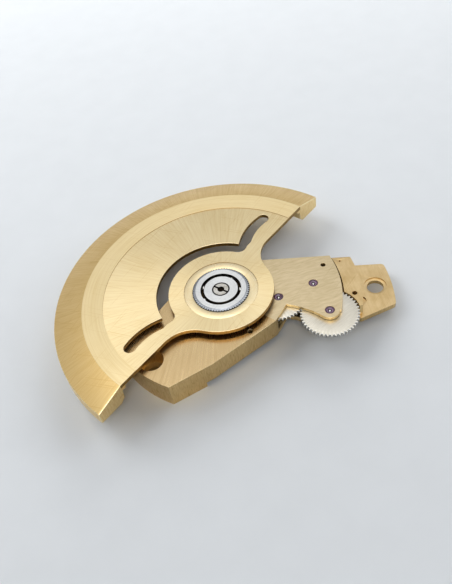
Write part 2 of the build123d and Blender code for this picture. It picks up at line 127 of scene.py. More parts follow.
def reworked(mesh: Mesh, *jobs: Callable[[BMesh], object]) -> Mesh:
    """Run jobs on a mesh's vertices, edges and faces.

    Args:
        mesh: The mesh to change.
        *jobs: Functions that each change a BMesh.

    Returns:
        The same mesh.
    """
    work = bmesh.new()
    work.from_mesh(mesh)
    for job in jobs:
        job(work)
    work.to_mesh(mesh)
    work.free()
    return mesh


def merge(work: BMesh) -> None:
    """Make vertices in one place one vertex."""
    bmesh.ops.remove_doubles(work, verts=work.verts, dist=MERGE)


def point_outwards(work: BMesh) -> None:
    """Turn all faces of a closed mesh outwards."""
    bmesh.ops.recalc_face_normals(work, faces=work.faces)


def rejoin_flats(work: BMesh) -> None:
    """Make triangles that lie in one plane one face again."""
    bmesh.ops.dissolve_limit(work, angle_limit=FLAT_ANGLE, verts=work.verts, edges=work.edges)


def copy_of(node: str) -> Mesh:
    """Return a merged copy of a CAD node's mesh, with its flat faces whole."""
    return reworked(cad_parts[node].data.copy(), merge, rejoin_flats)


def from_places(name: str, places: Sequence[Triple], edges: Sequence[tuple[int, int]],
                faces: Sequence[tuple[int, ...]]) -> Mesh:
    """Make a mesh of places in millimetres.

    Args:
        name: The mesh's name.
        places: Its vertices.
        edges: The numbers of each loose edge's vertices.
        faces: The numbers of each face's vertices.

    Returns:
        The mesh, in metres.
    """
    mesh = bpy.data.meshes.new(name)
    mesh.from_pydata([[MM * part for part in place] for place in places], edges, faces)
    return mesh


def turned(profile: Sequence[Point], centre: Point = (0, 0), flats: int = RING_FLATS) -> Mesh:
    """Turn a closed profile about an upright axis, as on a lathe.

    Args:
        profile: Radius and height of each corner.
        centre: Where the axis stands.
        flats: Number of flats round the axis.

    Returns:
        A closed mesh with its faces outwards.
    """
    count = len(profile)
    places = [(*polar(radius, 360 * step / flats, centre), height)
              for step in range(flats) for radius, height in profile]
    faces = [(step * count + at, step * count + (at + 1) % count,
              (step + 1) % flats * count + (at + 1) % count, (step + 1) % flats * count + at)
             for step in range(flats) for at in range(count)]
    return reworked(from_places("turned", places, [], faces), merge, point_outwards)


def slab(outline: Sequence[Point], bottom: float, thickness: float) -> Mesh:
    """Raise a closed outline to a flat piece.

    Args:
        outline: Its corners, anticlockwise.
        bottom: Height of its underside.
        thickness: Its height.

    Returns:
        A closed mesh with its faces outwards.
    """
    count = len(outline)
    places = [(*corner, height) for height in (bottom, bottom + thickness) for corner in outline]
    sides = [(at, (at + 1) % count, (at + 1) % count + count, at + count) for at in range(count)]
    faces = [tuple(reversed(range(count))), tuple(range(count, 2 * count)), *sides]
    return reworked(from_places("slab", places, [], faces), point_outwards)


def drill(radius: float, bottom: float, top: float, at: Point = (0, 0)) -> Mesh:
    """Return the upright cylinder that a drill cuts, between two heights."""
    return turned([(0, bottom), (radius, bottom), (radius, top), (0, top)], at, HOLE_FLATS)


def saw(at: Point, head_r: float, width: float, heading: float, bottom: float,
        thickness: float) -> Mesh:
    """Return the bar that a saw cuts across a screw's head.

    Args:
        at: The head's middle.
        head_r: The head's radius.
        width: The slot's width.
        heading: Where the slot points, in degrees.
        bottom: Height of the bar's underside.
        thickness: The bar's height.

    Returns:
        A closed mesh.
    """
    reach = SAW_REACH_SHARE * head_r
    corners = [polar(end * reach, heading, polar(side * width / 2, heading + 90, at))
               for end, side in ((-1, -1), (1, -1), (1, 1), (-1, 1))]
    return slab(corners, bottom, thickness)


def joined(meshes: Sequence[Mesh]) -> Mesh:
    """Return one mesh of the shells of several."""
    whole = bpy.data.meshes.new("joined")
    return reworked(whole, *(lambda work, mesh=mesh: work.from_mesh(mesh) for mesh in meshes))


def spread(mesh: Mesh, growth: float, bottom: float, top: float) -> Mesh:
    """Make a plate wider all round and give it two new heights.

    Args:
        mesh: A closed plate with upright walls.
        growth: How far its walls move outwards.
        bottom: Its new lower height.
        top: Its new upper height.

    Returns:
        The same mesh.
    """
    def push(work: BMesh) -> None:
        """Move each corner away from the walls that meet there, to one of the heights.

        Args:
            work: The plate.
        """
        work.normal_update()
        heights = [vertex.co.z for vertex in work.verts]
        middle = (min(heights) + max(heights)) / 2
        outwards = [sum((face.normal for face in vertex.link_faces if abs(face.normal.z) < LEVEL),
                        Vector()).normalized() for vertex in work.verts]
        for vertex, way in zip(work.verts, outwards):
            height = top if vertex.co.z > middle else bottom
            vertex.co = (vertex.co + way * growth * MM).xy.to_3d() + Vector((0, 0, height * MM))
    return reworked(mesh, push)


def placed(name: str, data: ID) -> Object:
    """Put a mesh, lamp or camera in the scene.

    Args:
        name: The new object's name.
        data: What it shows.

    Returns:
        The object, at the origin.
    """
    thing = bpy.data.objects.new(name, data)
    bpy.context.scene.collection.objects.link(thing)
    return thing


def evaluated(maker: Object) -> Mesh:
    """Turn what an object's modifiers make of its mesh into a plain mesh.

    Args:
        maker: The object. It is removed.

    Returns:
        The mesh.
    """
    depsgraph = bpy.context.evaluated_depsgraph_get()
    mesh = bpy.data.meshes.new_from_object(maker.evaluated_get(depsgraph), depsgraph=depsgraph)
    bpy.data.objects.remove(maker)
    return mesh


def cut(mesh: Mesh, *cutters: Mesh) -> Mesh:
    """Cut closed shapes out of a closed mesh.

    Args:
        mesh: The mesh that is cut.
        *cutters: The shapes to cut out.

    Returns:
        A new mesh.
    """
    blank = placed("blank", mesh)
    tools = [placed("cutter", cutter) for cutter in cutters]
    for tool in tools:
        knife = blank.modifiers.new("cut", "BOOLEAN")
        knife.object = tool
        knife.solver = "EXACT"
    result = evaluated(blank)
    for tool in tools:
        bpy.data.objects.remove(tool)
    return reworked(result, merge, rejoin_flats)


# Nodes


def add(tree: NodeTree, kind: str, inputs: dict[Any, Any] | None = None, **settings: Any) -> Node:
    """Add a node to a tree, with its settings, its input values and its links.

    Args:
        tree: The tree that gets the node.
        kind: The node's type name.
        inputs: Value or socket for each input, by its name or number. A node stands for its
            first output.
        **settings: The node's own settings.

    Returns:
        The new node.
    """
    node = tree.nodes.new(kind)
    for name, value in settings.items():
        setattr(node, name, value)
    for key, value in (inputs or {}).items():
        if isinstance(value, Node):
            value = value.outputs[0]
        if isinstance(value, NodeSocket):
            tree.links.new(value, node.inputs[key])
        else:
            node.inputs[key].default_value = value
    return node


def calc(tree: NodeTree, operation: str, *values: Any) -> Node:
    """Add the sum, product or other result of numbers to a tree."""
    return add(tree, "ShaderNodeMath", dict(enumerate(values)), operation=operation)


def vector(tree: NodeTree, operation: str, *values: Any) -> Node:
    """Add the sum, product or other result of vectors to a tree."""
    return add(tree, "ShaderNodeVectorMath", dict(enumerate(values)), operation=operation)


def scaled(tree: NodeTree, given: Any, factor: Any) -> Node:
    """Add a vector times a number to a tree."""
    return add(tree, "ShaderNodeVectorMath", {0: given, "Scale": factor}, operation="SCALE")


def ramp(tree: NodeTree, value: Any, over: Sequence[Any], to: Sequence[Any] = (0.0, 1.0),
         eased: bool = False) -> Node:
    """Add a number that goes from one value to another while a given one crosses a range.

    Args:
        tree: The tree that gets the node.
        value: The given number.
        over: Where it starts and ends its crossing.
        to: What the result is there.
        eased: Whether the result starts and ends softly.

    Returns:
        The node with the number.
    """
    return add(tree, "ShaderNodeMapRange", {
        "Value": value, "From Min": over[0], "From Max": over[1], "To Min": to[0], "To Max": to[1],
    }, interpolation_type="SMOOTHSTEP" if eased else "LINEAR")


def new_tree(name: str, inputs: dict[str, str]) -> tuple[NodeTree, NodeOutputs]:
    """Start a geometry tree with named inputs.

    Args:
        name: The tree's name.
        inputs: Type of each input between the geometry and the material, by its name.

    Returns:
        The tree, and the sockets that give its inputs.
    """
    tree = bpy.data.node_groups.new(name, "GeometryNodeTree")
    for label, kind in {"Geometry": "Geometry", **inputs, "Material": "Material"}.items():
        tree.interface.new_socket(label, in_out="INPUT", socket_type=f"NodeSocket{kind}")
    tree.interface.new_socket("Geometry", in_out="OUTPUT", socket_type="NodeSocketGeometry")
    return tree, add(tree, "NodeGroupInput").outputs


def end_tree(tree: NodeTree, given: NodeOutputs, geometry: Node) -> NodeTree:
    """End a geometry tree in plain geometry with its material.

    Args:
        tree: The tree.
        given: The sockets of its inputs.
        geometry: The node whose geometry it gives.

    Returns:
        The same tree.
    """
    plain = add(tree, "GeometryNodeRealizeInstances", {"Geometry": geometry})
    dressed = add(tree, "GeometryNodeSetMaterial",
                  {"Geometry": plain, "Material": given["Material"]})
    add(tree, "NodeGroupOutput", {"Geometry": dressed})
    return tree


def together(tree: NodeTree, *parts: Node) -> Node:
    """Add a node that joins the geometry of several.

    Args:
        tree: The tree that gets the node.
        *parts: The nodes whose geometry it joins.

    Returns:
        The node.
    """
    join = add(tree, "GeometryNodeJoinGeometry")
    for part in parts:
        tree.links.new(part.outputs[0], join.inputs["Geometry"])
    return join


def wound(tree: NodeTree, radius: Any, turn: Any, height: Any = 0.0) -> Node:
    """Add the place at a radius, an angle in radians and a height to a tree."""
    return add(tree, "ShaderNodeCombineXYZ", {
        "X": calc(tree, "MULTIPLY", radius, calc(tree, "COSINE", turn)),
        "Y": calc(tree, "MULTIPLY", radius, calc(tree, "SINE", turn)), "Z": height,
    })


def grown(tree: NodeTree, values: dict[str, Any], base: Mesh | None = None) -> Mesh:
    """Run a geometry tree and keep its result as a plain mesh.

    Args:
        tree: The tree.
        values: Value of each of its inputs, by the input's name.
        base: The mesh that it starts from, if it needs one.

    Returns:
        The mesh, merged, with its faces outwards.
    """
    maker = placed("maker", base or bpy.data.meshes.new("empty"))
    modifier = maker.modifiers.new("grow", "NODES")
    modifier.node_group = tree
    for item in tree.interface.items_tree:
        if item.in_out == "INPUT" and item.name in values:
            modifier[item.identifier] = values[item.name]
    return reworked(evaluated(maker), merge, point_outwards)


def rim_tree() -> NodeTree:
    """Make the tree that sweeps a profile round the rotor's axis, between parallel end faces.

    Returns:
        The tree. Its base mesh is the profile, radius along X and height along Y.
    """
    tree, given = new_tree("rim sweep",
                           {"Segments": "Int", "End Inset": "Float", "Heading": "Float"})
    here = add(tree, "ShaderNodeSeparateXYZ", {0: add(tree, "GeometryNodeInputPosition")}).outputs

    def kept(geometry: Node, name: str, value: NodeSocket) -> Node:
        """Keep a number for each point under a name."""
        return add(tree, "GeometryNodeStoreNamedAttribute",
                   {"Geometry": geometry, "Name": name, "Value": value}, data_type="FLOAT")

    def recalled(name: str) -> NodeSocket:
        """Return the number kept for each point under a name."""
        node = add(tree, "GeometryNodeInputNamedAttribute", {"Name": name}, data_type="FLOAT")
        return node.outputs["Attribute"]

    profile = add(tree, "GeometryNodeMeshToCurve", {"Mesh": given["Geometry"]})
    profile = kept(profile, "rim_radius", here["X"])
    profile = kept(profile, "rim_height", here["Y"])
    path = add(tree, "GeometryNodeCurvePrimitiveLine", {"Start": (0, 0, -1), "End": (0, 0, 1)})
    path = add(tree, "GeometryNodeResampleCurve", {"Curve": path, "Count": given["Segments"]})
    path = kept(path, "rim_share", here["Z"])
    swept = add(tree, "GeometryNodeCurveToMesh",
                {"Curve": path, "Profile Curve": profile, "Fill Caps": True})
    radius = recalled("rim_radius")
    # The end faces are parallel, so a point further out turns further before it meets them
    reach = calc(tree, "ARCCOSINE", calc(tree, "DIVIDE", given["End Inset"], radius))
    turn = calc(tree, "MULTIPLY_ADD", recalled("rim_share"), reach, given["Heading"])
    place = wound(tree, radius, turn, recalled("rim_height"))
    return end_tree(tree, given, add(tree, "GeometryNodeSetPosition",
                                     {"Geometry": swept, "Position": place}))


def gear_tree() -> NodeTree:
    """Make the tree that cuts a toothed wheel with a bore.

    Returns:
        The tree. It needs no base mesh.
    """
    tree, given = new_tree("toothed wheel", {
        "Teeth": "Int", "Steps": "Int", "Root Radius": "Float", "Tip Radius": "Float",
        "Bore Radius": "Float", "Root Half Share": "Float", "Tip Half Share": "Float",
        "Phase": "Float", "Bottom": "Vector", "Thickness": "Float",
    })
    count = calc(tree, "MULTIPLY", given["Teeth"], given["Steps"])
    circle = add(tree, "GeometryNodeCurvePrimitiveCircle", {"Resolution": count, "Radius": 1.0})
    share = calc(tree, "DIVIDE", add(tree, "GeometryNodeInputIndex"), given["Steps"])
    from_middle = calc(tree, "ABSOLUTE", calc(tree, "SUBTRACT", calc(tree, "FRACT", share), 0.5))
    radius = ramp(tree, from_middle, (given["Root Half Share"], given["Tip Half Share"]),
                  (given["Root Radius"], given["Tip Radius"]))
    teeth_in = calc(tree, "DIVIDE", calc(tree, "SUBTRACT", share, 0.5), given["Teeth"])
    turn = calc(tree, "MULTIPLY_ADD", teeth_in, math.tau, given["Phase"])
    teeth = add(tree, "GeometryNodeSetPosition",
                {"Geometry": circle, "Position": wound(tree, radius, turn)})
    bore = add(tree, "GeometryNodeCurvePrimitiveCircle",
               {"Resolution": BORE_FLATS, "Radius": given["Bore Radius"]})
    face = add(tree, "GeometryNodeFillCurve", {"Curve": together(tree, teeth, bore)})
    raised = add(tree, "GeometryNodeExtrudeMesh", {
        "Mesh": face, "Offset": (0, 0, 1), "Offset Scale": given["Thickness"], "Individual": False,
    })
    closed = together(tree, raised, add(tree, "GeometryNodeFlipFaces", {"Mesh": face}))
    return end_tree(tree, given, add(tree, "GeometryNodeTransform",
                                     {"Geometry": closed, "Translation": given["Bottom"]}))


def ball_tree() -> NodeTree:
    """Make the tree that sets balls evenly round the axis.

    Returns:
        The tree. It needs no base mesh.
    """
    tree, given = new_tree("ball ring", {
        "Balls": "Int", "Track Radius": "Float", "Ball Radius": "Float", "Height": "Vector",
    })
    track = add(tree, "GeometryNodeMeshCircle",
                {"Vertices": given["Balls"], "Radius": given["Track Radius"]})
    ball = add(tree, "GeometryNodeMeshUVSphere",
               {"Segments": 32, "Rings": 16, "Radius": given["Ball Radius"]})
    ring = add(tree, "GeometryNodeInstanceOnPoints", {"Points": track, "Instance": ball})
    return end_tree(tree, given, add(tree, "GeometryNodeTransform",
                                     {"Geometry": ring, "Translation": given["Height"]}))


def notch_tree() -> NodeTree:
    """Make the tree that presses notches into the outer edge of a turned ring.

    Returns:
        The tree. Its base mesh is the turned ring.
    """
    tree, given = new_tree("notched edge", {
        "Notches": "Int", "Notch Share": "Float", "Start Share": "Float", "Depth": "Float",
        "From Radius": "Float", "From Height": "Float",
    })
    here = add(tree, "ShaderNodeSeparateXYZ", {0: add(tree, "GeometryNodeInputPosition")}).outputs
    level = add(tree, "ShaderNodeCombineXYZ", {"X": here["X"], "Y": here["Y"]})
    radius = vector(tree, "LENGTH", level).outputs["Value"]
    turn = calc(tree, "DIVIDE", calc(tree, "ARCTAN2", here["Y"], here["X"]), math.tau)
    share = calc(tree, "FRACT", calc(tree, "MULTIPLY_ADD", turn, given["Notches"],
                                     given["Start Share"]))
    at_edge = calc(tree, "MULTIPLY", calc(tree, "GREATER_THAN", radius, given["From Radius"]),
                   calc(tree, "GREATER_THAN", here["Z"], given["From Height"]))
    chosen = calc(tree, "MULTIPLY", calc(tree, "LESS_THAN", share, given["Notch Share"]), at_edge)
    offset = scaled(tree, vector(tree, "NORMALIZE", level),
                    calc(tree, "MULTIPLY", given["Depth"], -1.0))
    return end_tree(tree, given, add(tree, "GeometryNodeSetPosition", {
        "Geometry": given["Geometry"], "Selection": chosen, "Offset": offset,
    }))


# Finishes


def emptied(holder: Material | World) -> NodeTree:
    """Empty the node tree of a material or world.

    Args:
        holder: The material or world.

    Returns:
        Its tree.
    """
    holder.use_nodes = True
    holder.node_tree.nodes.clear()
    return holder.node_tree


def new_finish(name: str) -> tuple[Material, NodeTree, NodeSocket]:
    """Start a material.

    Args:
        name: Its name.

    Returns:
        The material, its empty tree, and the place on the piece, in metres.
    """
    material = bpy.data.materials.new(name)
    tree = emptied(material)
    return material, tree, add(tree, "ShaderNodeTexCoord").outputs["Object"]


def noise(tree: NodeTree, at: Any, scale: float, detail: float, roughness: float = 0.5) -> Node:
    """Add a cloudy pattern to a tree.

    Args:
        tree: The tree that gets it.
        at: The place where it is seen.
        scale: Number of clouds along one unit.
        detail: Number of finer layers.
        roughness: How strong each finer layer is.

    Returns:
        The node with the pattern.
    """
    return add(tree, "ShaderNodeTexNoise",
               {"Vector": at, "Scale": scale, "Detail": detail, "Roughness": roughness})


def blended(tree: NodeTree, share: Any, first: Any, second: Any) -> NodeSocket:
    """Add a blend of two colours to a tree.

    Args:
        tree: The tree that gets it.
        share: How much of the second colour it has.
        first: A hex colour, or the socket of a colour.
        second: Another.

    Returns:
        The socket of the blend.
    """
    colours = [linear(colour) if isinstance(colour, str) else colour for colour in (first, second)]
    mix = add(tree, "ShaderNodeMix", {"Factor": share, 6: colours[0], 7: colours[1]},
              data_type="RGBA")
    return mix.outputs[2]


def along(tree: NodeTree, at: Any, heading: float, scale: Sequence[float]) -> Node:
    """Add a place turned by a heading in degrees, and its parts then scaled."""
    turn = {"Vector": at, "Rotation": (0, 0, math.radians(heading))}
    return add(tree, "ShaderNodeMapping",
               {"Vector": add(tree, "ShaderNodeMapping", turn), "Scale": scale})


def surfaced(tree: NodeTree, inputs: dict[str, Any]) -> None:
    """End a material's tree in a surface with these inputs."""
    skin = add(tree, "ShaderNodeBsdfPrincipled", inputs)
    add(tree, "ShaderNodeOutputMaterial", {"Surface": skin})


class Grain(Enum):
    """Which way the marks of a tool run over a metal face."""

    SUNBURST = "rays from an axis"
    TURNED = "circles round an axis"
    STRAIGHT = "parallel lines"
    UPRIGHT = "strokes down a wall"
    MATT = "no direction"


@dataclass(frozen=True)
class Metal:
    """A metal with the marks of the tool that finished it, and stray scratches of handling.

    Marks too fine to show in the render are drawn as coarse as they need to show, which is
    from about 0.05 mm.
    """

    TONES: ClassVar[Point] = (0.3, 0.7)             # of the pattern, from deep to pale
    HAIR_HEADINGS: ClassVar[Point] = (24, -51)      # degrees, of the two ways of the scratches
    HAIR_SIZE: ClassVar[Triple] = (4, 0.07, 0.5)    # along one, across it and down a wall
    HAIR_STARTS: ClassVar[Point] = (0.72, 0.8)      # of the pattern, from no scratch to a full one
    SWAY: ClassVar[float] = 2.5                     # along one waver of the hand

    name: str
    pale: str                           # sRGB colour of the metal
    deep: str                           # of its tarnish and the floors of its marks
    grain: Grain
    width: float                        # across a tool mark
    depth: float                        # how strongly the marks turn the light
    roughness: Point                    # least and most
    length: float = 0.0                 # along a mark that has a direction
    anisotropy: float = 0.0
    centre: Point = (0, 0)              # of rays and circles
    heading: float = 0.0                # of parallel lines, degrees
    patch: float = 3.0                  # size of the cloudy patches of tarnish
    patch_share: float = 0.3            # how much of the colour's change is in patches
    wander: float = 0.0                 # how far a hand-drawn mark strays
    hairs: float = 0.25                 # how much the scratches show
    width_at: float = 7.0               # radius where rays have their width

    def build(self) -> Material:
        """Make the material.

        Returns:
            The material, with its pattern on object coordinates.
        """
        material, tree, place = new_finish(self.name)
        at = add(tree, "ShaderNodeMapping", {
            "Vector": place, "Location": (-self.centre[0], -self.centre[1], 0),
            "Scale": (1 / MM,) * 3,
        })
        marks = noise(tree, self._mark_vector(tree, at), scale=1.0, detail=4.0, roughness=0.6)
        clouds = noise(tree, at, scale=1 / self.patch, detail=3.0, roughness=0.55)
        hairs = calc(tree, "MULTIPLY", self._hairlines(tree, at), self.hairs)
        both = add(tree, "ShaderNodeMix", {"Factor": self.patch_share, "A": marks.outputs["Fac"],
                                           "B": clouds.outputs["Fac"]})
        tone = calc(tree, "SUBTRACT", both, hairs)
        relief = add(tree, "ShaderNodeBump", {
            "Height": calc(tree, "SUBTRACT", marks, hairs), "Strength": 1.0,
            "Distance": self.depth * MM,
        })
        inputs = {
            "Base Color": blended(tree, ramp(tree, tone, self.TONES), self.deep, self.pale),
            "Metallic": 1.0, "Roughness": ramp(tree, tone, self.TONES, self.roughness[::-1]),
            "Normal": relief,
        }
        if self.anisotropy:
            inputs |= {"Anisotropic": self.anisotropy, "Tangent": self._tangent(tree, at)}
        surfaced(tree, inputs)
        return material

    def _hairlines(self, tree: NodeTree, at: Node) -> Node:
        """Return where stray scratches lie: thin, some millimetres long, two ways.

        Args:
            tree: The material's tree.
            at: The place on the piece, in millimetres.

        Returns:
            The node whose value is 1 in a scratch and 0 beside it.
        """
        lines = []
        for heading in self.HAIR_HEADINGS:
            place = along(tree, at, heading, [1 / size for size in self.HAIR_SIZE])
            lines.append(ramp(tree, noise(tree, place, scale=1.0, detail=0.0), self.HAIR_STARTS))
        return calc(tree, "MAXIMUM", *lines)

    def _mark_vector(self, tree: NodeTree, at: Node) -> Node:
        """Return coordinates in which every tool mark is one unit wide and long.

        Args:
            tree: The material's tree.
            at: The place on the piece, in millimetres from the centre of its marks.

        Returns:
            The node with the coordinates.
        """
        if self.wander:
            sway = noise(tree, at, scale=1 / self.SWAY, detail=1.0).outputs["Color"]
            at = vector(tree, "MULTIPLY_ADD", sway, (self.wander,) * 3, at)
        across = 1 / self.width
        if self.grain is Grain.MATT:
            return scaled(tree, at, across)
        if self.grain is Grain.UPRIGHT:
            return add(tree, "ShaderNodeMapping",
                       {"Vector": at, "Scale": (across, across, 1 / self.length)})
        if self.grain is Grain.STRAIGHT:
            return along(tree, at, -self.heading, (1 / self.length, across, across))
        flat = vector(tree, "MULTIPLY", at, (1, 1, 0))
        radius = vector(tree, "LENGTH", flat).outputs["Value"]
        height = add(tree, "ShaderNodeSeparateXYZ", {0: at}).outputs["Z"]
        around, outwards = self.width, self.length
        if self.grain is Grain.TURNED:
            around, outwards = outwards, around
        out = calc(tree, "MULTIPLY", calc(tree, "ADD", radius, height), 1 / outwards)
        return vector(tree, "ADD",
                      scaled(tree, vector(tree, "NORMALIZE", flat), self.width_at / around),
                      add(tree, "ShaderNodeCombineXYZ", {"Z": out}))

    def _tangent(self, tree: NodeTree, at: Node) -> NodeSocket:
        """Return the direction in which the marks spread a highlight.

        Args:
            tree: The material's tree.
            at: The place on the piece, in millimetres from the centre of its marks.

        Returns:
            The direction in world space.
        """
        if self.grain is Grain.STRAIGHT:
            across = add(tree, "ShaderNodeCombineXYZ",
                         dict(zip("XY", polar(1, self.heading + 90))))
        else:
            across = vector(tree, "NORMALIZE", vector(tree, "MULTIPLY", at, (1, 1, 0)))
            if self.grain is Grain.SUNBURST:
                across = vector(tree, "CROSS_PRODUCT", (0, 0, 1), across)
        return add(tree, "ShaderNodeVectorTransform", {"Vector": across}, vector_type="VECTOR",
                   convert_from="OBJECT", convert_to="WORLD").outputs[0]


@dataclass(frozen=True)
class Ruby:
    """Synthetic ruby, cut and polished: dark violet, with a wet shine and paler cloudy depths."""

    name: str = "polished_ruby"
    pale: str = "#4C1C40"
    deep: str = "#1E0A1A"
    cloud: float = 0.15                 # across a cloud in the stone
    relief: float = 0.002               # of what polishing has left
    roughness: Point = (0.05, 0.2)      # least and most

    def build(self) -> Material:
        """Make the material.

        Returns:
            The material.
        """
        material, tree, place = new_finish(self.name)
        clouds = noise(tree, place, scale=1 / (self.cloud * MM), detail=2.0)
        surfaced(tree, {
            "Base Color": blended(tree, clouds, self.deep, self.pale), "IOR": 1.77,
            "Roughness": ramp(tree, clouds, (0.0, 1.0), self.roughness),
            "Normal": add(tree, "ShaderNodeBump", {
                "Height": clouds, "Strength": 1.0, "Distance": self.relief * MM}),
            "Coat Weight": 0.2, "Coat Roughness": 0.1,
        })
        return material


@dataclass(frozen=True)
class Table:
    """Matt pale board that the module lies on, with hardly any speckle."""

    name: str = "matt_table"
    colour: str = "#DBDFE2"
    speckle: str = "#E1E5E8"
    speckle_size: float = 2.5

    def build(self) -> Material:
        """Make the material.

        Returns:
            The material.
        """
        material, tree, place = new_finish(self.name)
        speckles = noise(tree, place, scale=1 / (self.speckle_size * MM), detail=3.0)
        surfaced(tree, {"Base Color": blended(tree, speckles, self.colour, self.speckle),
                        "Roughness": 0.6, "Specular IOR Level": 0.2})
        return material


@dataclass(frozen=True)
class Palette:
    """Every finish of the module."""

    # Gilt brass drawn with emery from the middle outwards: fans of light turn with the view
    web_sunburst: Metal = Metal(
        "gilt_sunburst_brass", "#FBE9BC", "#E9D09A", Grain.SUNBURST, width=0.09, length=2.6,
        depth=0.0028, roughness=(0.28, 0.42), anisotropy=0.75)
    # The same gilt, lapped flat: its light runs the other way round the middle
    ring_satin: Metal = Metal(
        "gilt_lapped_brass", "#FCE8B8", "#EDD49C", Grain.TURNED, width=0.10, length=3.0,
        depth=0.0016, roughness=(0.32, 0.42), anisotropy=0.5)
    # Gilt over a turned cone: a fine satin that darkens as it leans away from the light
    rim_satin: Metal = Metal(
        "gilt_turned_brass", "#F9DA9A", "#E6C27C", Grain.SUNBURST, width=0.09, length=1.6,
        depth=0.0016, roughness=(0.34, 0.44), anisotropy=0.25, width_at=11.0)
    # Gilt as it comes off the mill: dull and a little pitted
    gilt_milled: Metal = Metal(
        "gilt_milled_brass", "#FFE6AC", "#E8C686", Grain.UPRIGHT, width=0.07, length=0.6,
        depth=0.004, roughness=(0.28, 0.44))
    # Walls and underside of the web, rough and dull, in a darker, browner gilt: painted shade for
    # the dark that they mirror under the rotor
    painted_shade_web_wall: Metal = Metal(
        "gilt_brass_painted_shade", "#B2925A", "#8A6B38", Grain.UPRIGHT, width=0.07, length=0.3,
        depth=0.004, roughness=(0.30, 0.46))
    # The gilt pieces' edges, rubbed bright by handling
    gilt_edge: Metal = Metal(
        "gilt_burnished_edge", "#FFF0CC", "#F4D898", Grain.MATT, width=0.15, depth=0.001,
        roughness=(0.22, 0.32))
    # Gilt bush, turned and polished: a clear sweep of light round it
    hub_polish: Metal = Metal(
        "gilt_polished_brass", "#FFF0CA", "#F4DDAA", Grain.TURNED, width=0.06, length=2.0,
        depth=0.0010, roughness=(0.24, 0.34), anisotropy=0.5)
    # Brass bridge lapped by hand: short shallow wavering marks in a greyish champagne
    bridge_top: Metal = Metal(
        "lapped_bridge_brass", "#E3D0AB", "#C8B58C", Grain.STRAIGHT, width=0.16, length=1.1,
        depth=0.0036, roughness=(0.30, 0.44), anisotropy=0.35, heading=10.0, wander=0.9,
        hairs=0.1)
    # The same plate where a wheel has drawn it: finer lines that fan out towards the front
    bridge_fan: Metal = Metal(
        "drawn_bridge_brass", "#DAC092", "#C6AA7C", Grain.SUNBURST, width=0.08, length=3.0,
        depth=0.0034, roughness=(0.22, 0.36), anisotropy=0.6, centre=(0.3, 8.3), hairs=0.1,
        width_at=12.0)
    # Brass as milled: rough walls with the strokes of the tool
    bridge_wall: Metal = Metal(
        "milled_bridge_brass", "#E8CE96", "#C8A870", Grain.UPRIGHT, width=0.07, length=0.6,
        depth=0.005, roughness=(0.28, 0.44))
    # The bridges' edges, rubbed to a thin pale line
    bridge_edge: Metal = Metal(
        "rubbed_bridge_edge", "#FBEBC6", "#E4C894", Grain.MATT, width=0.15, depth=0.001,
        roughness=(0.22, 0.32))
    # Step and lug, smoothed on a stone and handled more than the rest: cloudy
    lug_satin: Metal = Metal(
        "stoned_lug_brass", "#E8CE9E", "#CAAC76", Grain.STRAIGHT, width=0.14, length=1.6,
        depth=0.0022, roughness=(0.28, 0.42), anisotropy=0.35, heading=96.0, wander=0.4,
        patch=1.2, patch_share=0.65, hairs=0.1)
    # Stamped brass cage between the balls, nearly black: painted shade, so that the bearing's gap
    # looks dark
    cage_brass: Metal = Metal(
        "stamped_brass_in_painted_shade", "#463822", "#1E170E", Grain.MATT, width=0.08, depth=0.004,
        roughness=(0.35, 0.5))
    # Hardened bearing steel, ground: fine circles and a grey shine
    ring_steel: Metal = Metal(
        "ground_bearing_steel", "#F2F3F2", "#D6D8D8", Grain.TURNED, width=0.05, length=1.5,
        depth=0.0016, roughness=(0.26, 0.36), anisotropy=0.4)
    # The outer ring's band, a little blue from hardening
    band_steel: Metal = Metal(
        "blued_band_steel", "#C6CACE", "#989CA4", Grain.TURNED, width=0.05, length=0.6,
        depth=0.0012, roughness=(0.3, 0.42), anisotropy=0.2)
    # The steel pieces' edges: a thin white line
    steel_edge: Metal = Metal(
        "ground_steel_edge", "#F6F7F7", "#D4D6D8", Grain.MATT, width=0.1, depth=0.0008,
        roughness=(0.2, 0.3))
    # Bearing balls and pivots, polished: bright points in the dark
    ball_steel: Metal = Metal(
        "polished_ball_steel", "#D8D8D4", "#B8B8B2", Grain.MATT, width=0.1, depth=0.0005,
        roughness=(0.08, 0.16))
    # Worn slot and head: grey steel with brownish patches
    screw_steel: Metal = Metal(
        "worn_screw_steel", "#EDECE8", "#ACA698", Grain.STRAIGHT, width=0.05, length=0.5,
        depth=0.003, roughness=(0.22, 0.4), heading=20.0, patch=0.4, patch_share=0.5)
    # Nearly black and a little wet: painted shade in slots, chamfers, notches, the bearing's gap
    # and on a screw's end down its hole
    painted_shade_steel: Metal = Metal(
        "painted_shade_steel", "#30291F", "#100D0A", Grain.MATT, width=0.07, depth=0.006,
        roughness=(0.3, 0.6))
    # The same painted shade in a groove of the brass: brown rather than black
    painted_shade_brass: Metal = Metal(
        "painted_shade_brass", "#5A4426", "#2A1E10", Grain.MATT, width=0.07, depth=0.006,
        roughness=(0.35, 0.6))
    # Wheels lapped flat and nickel plated: pale, nearly without direction
    wheel_face: Metal = Metal(
        "lapped_wheel_steel", "#E4DFD2", "#D0CABA", Grain.STRAIGHT, width=0.07, length=0.8,
        depth=0.0016, roughness=(0.34, 0.44), heading=35.0)
    # The wheels' teeth, left as the cutter leaves them: darker between the bright faces
    wheel_wall: Metal = Metal(
        "cut_wheel_teeth", "#E6E3D8", "#A9A496", Grain.MATT, width=0.06, depth=0.0015,
        roughness=(0.28, 0.42))
    # The jewels' flat faces: a dark violet that mirrors the light
    ruby: Ruby = Ruby()
    # The ground oil cup, painted paler than the flat face round it: painted sheen
    ruby_cup_painted_sheen: Ruby = Ruby("dished_ruby_painted_sheen", "#A0749C", "#62385C")


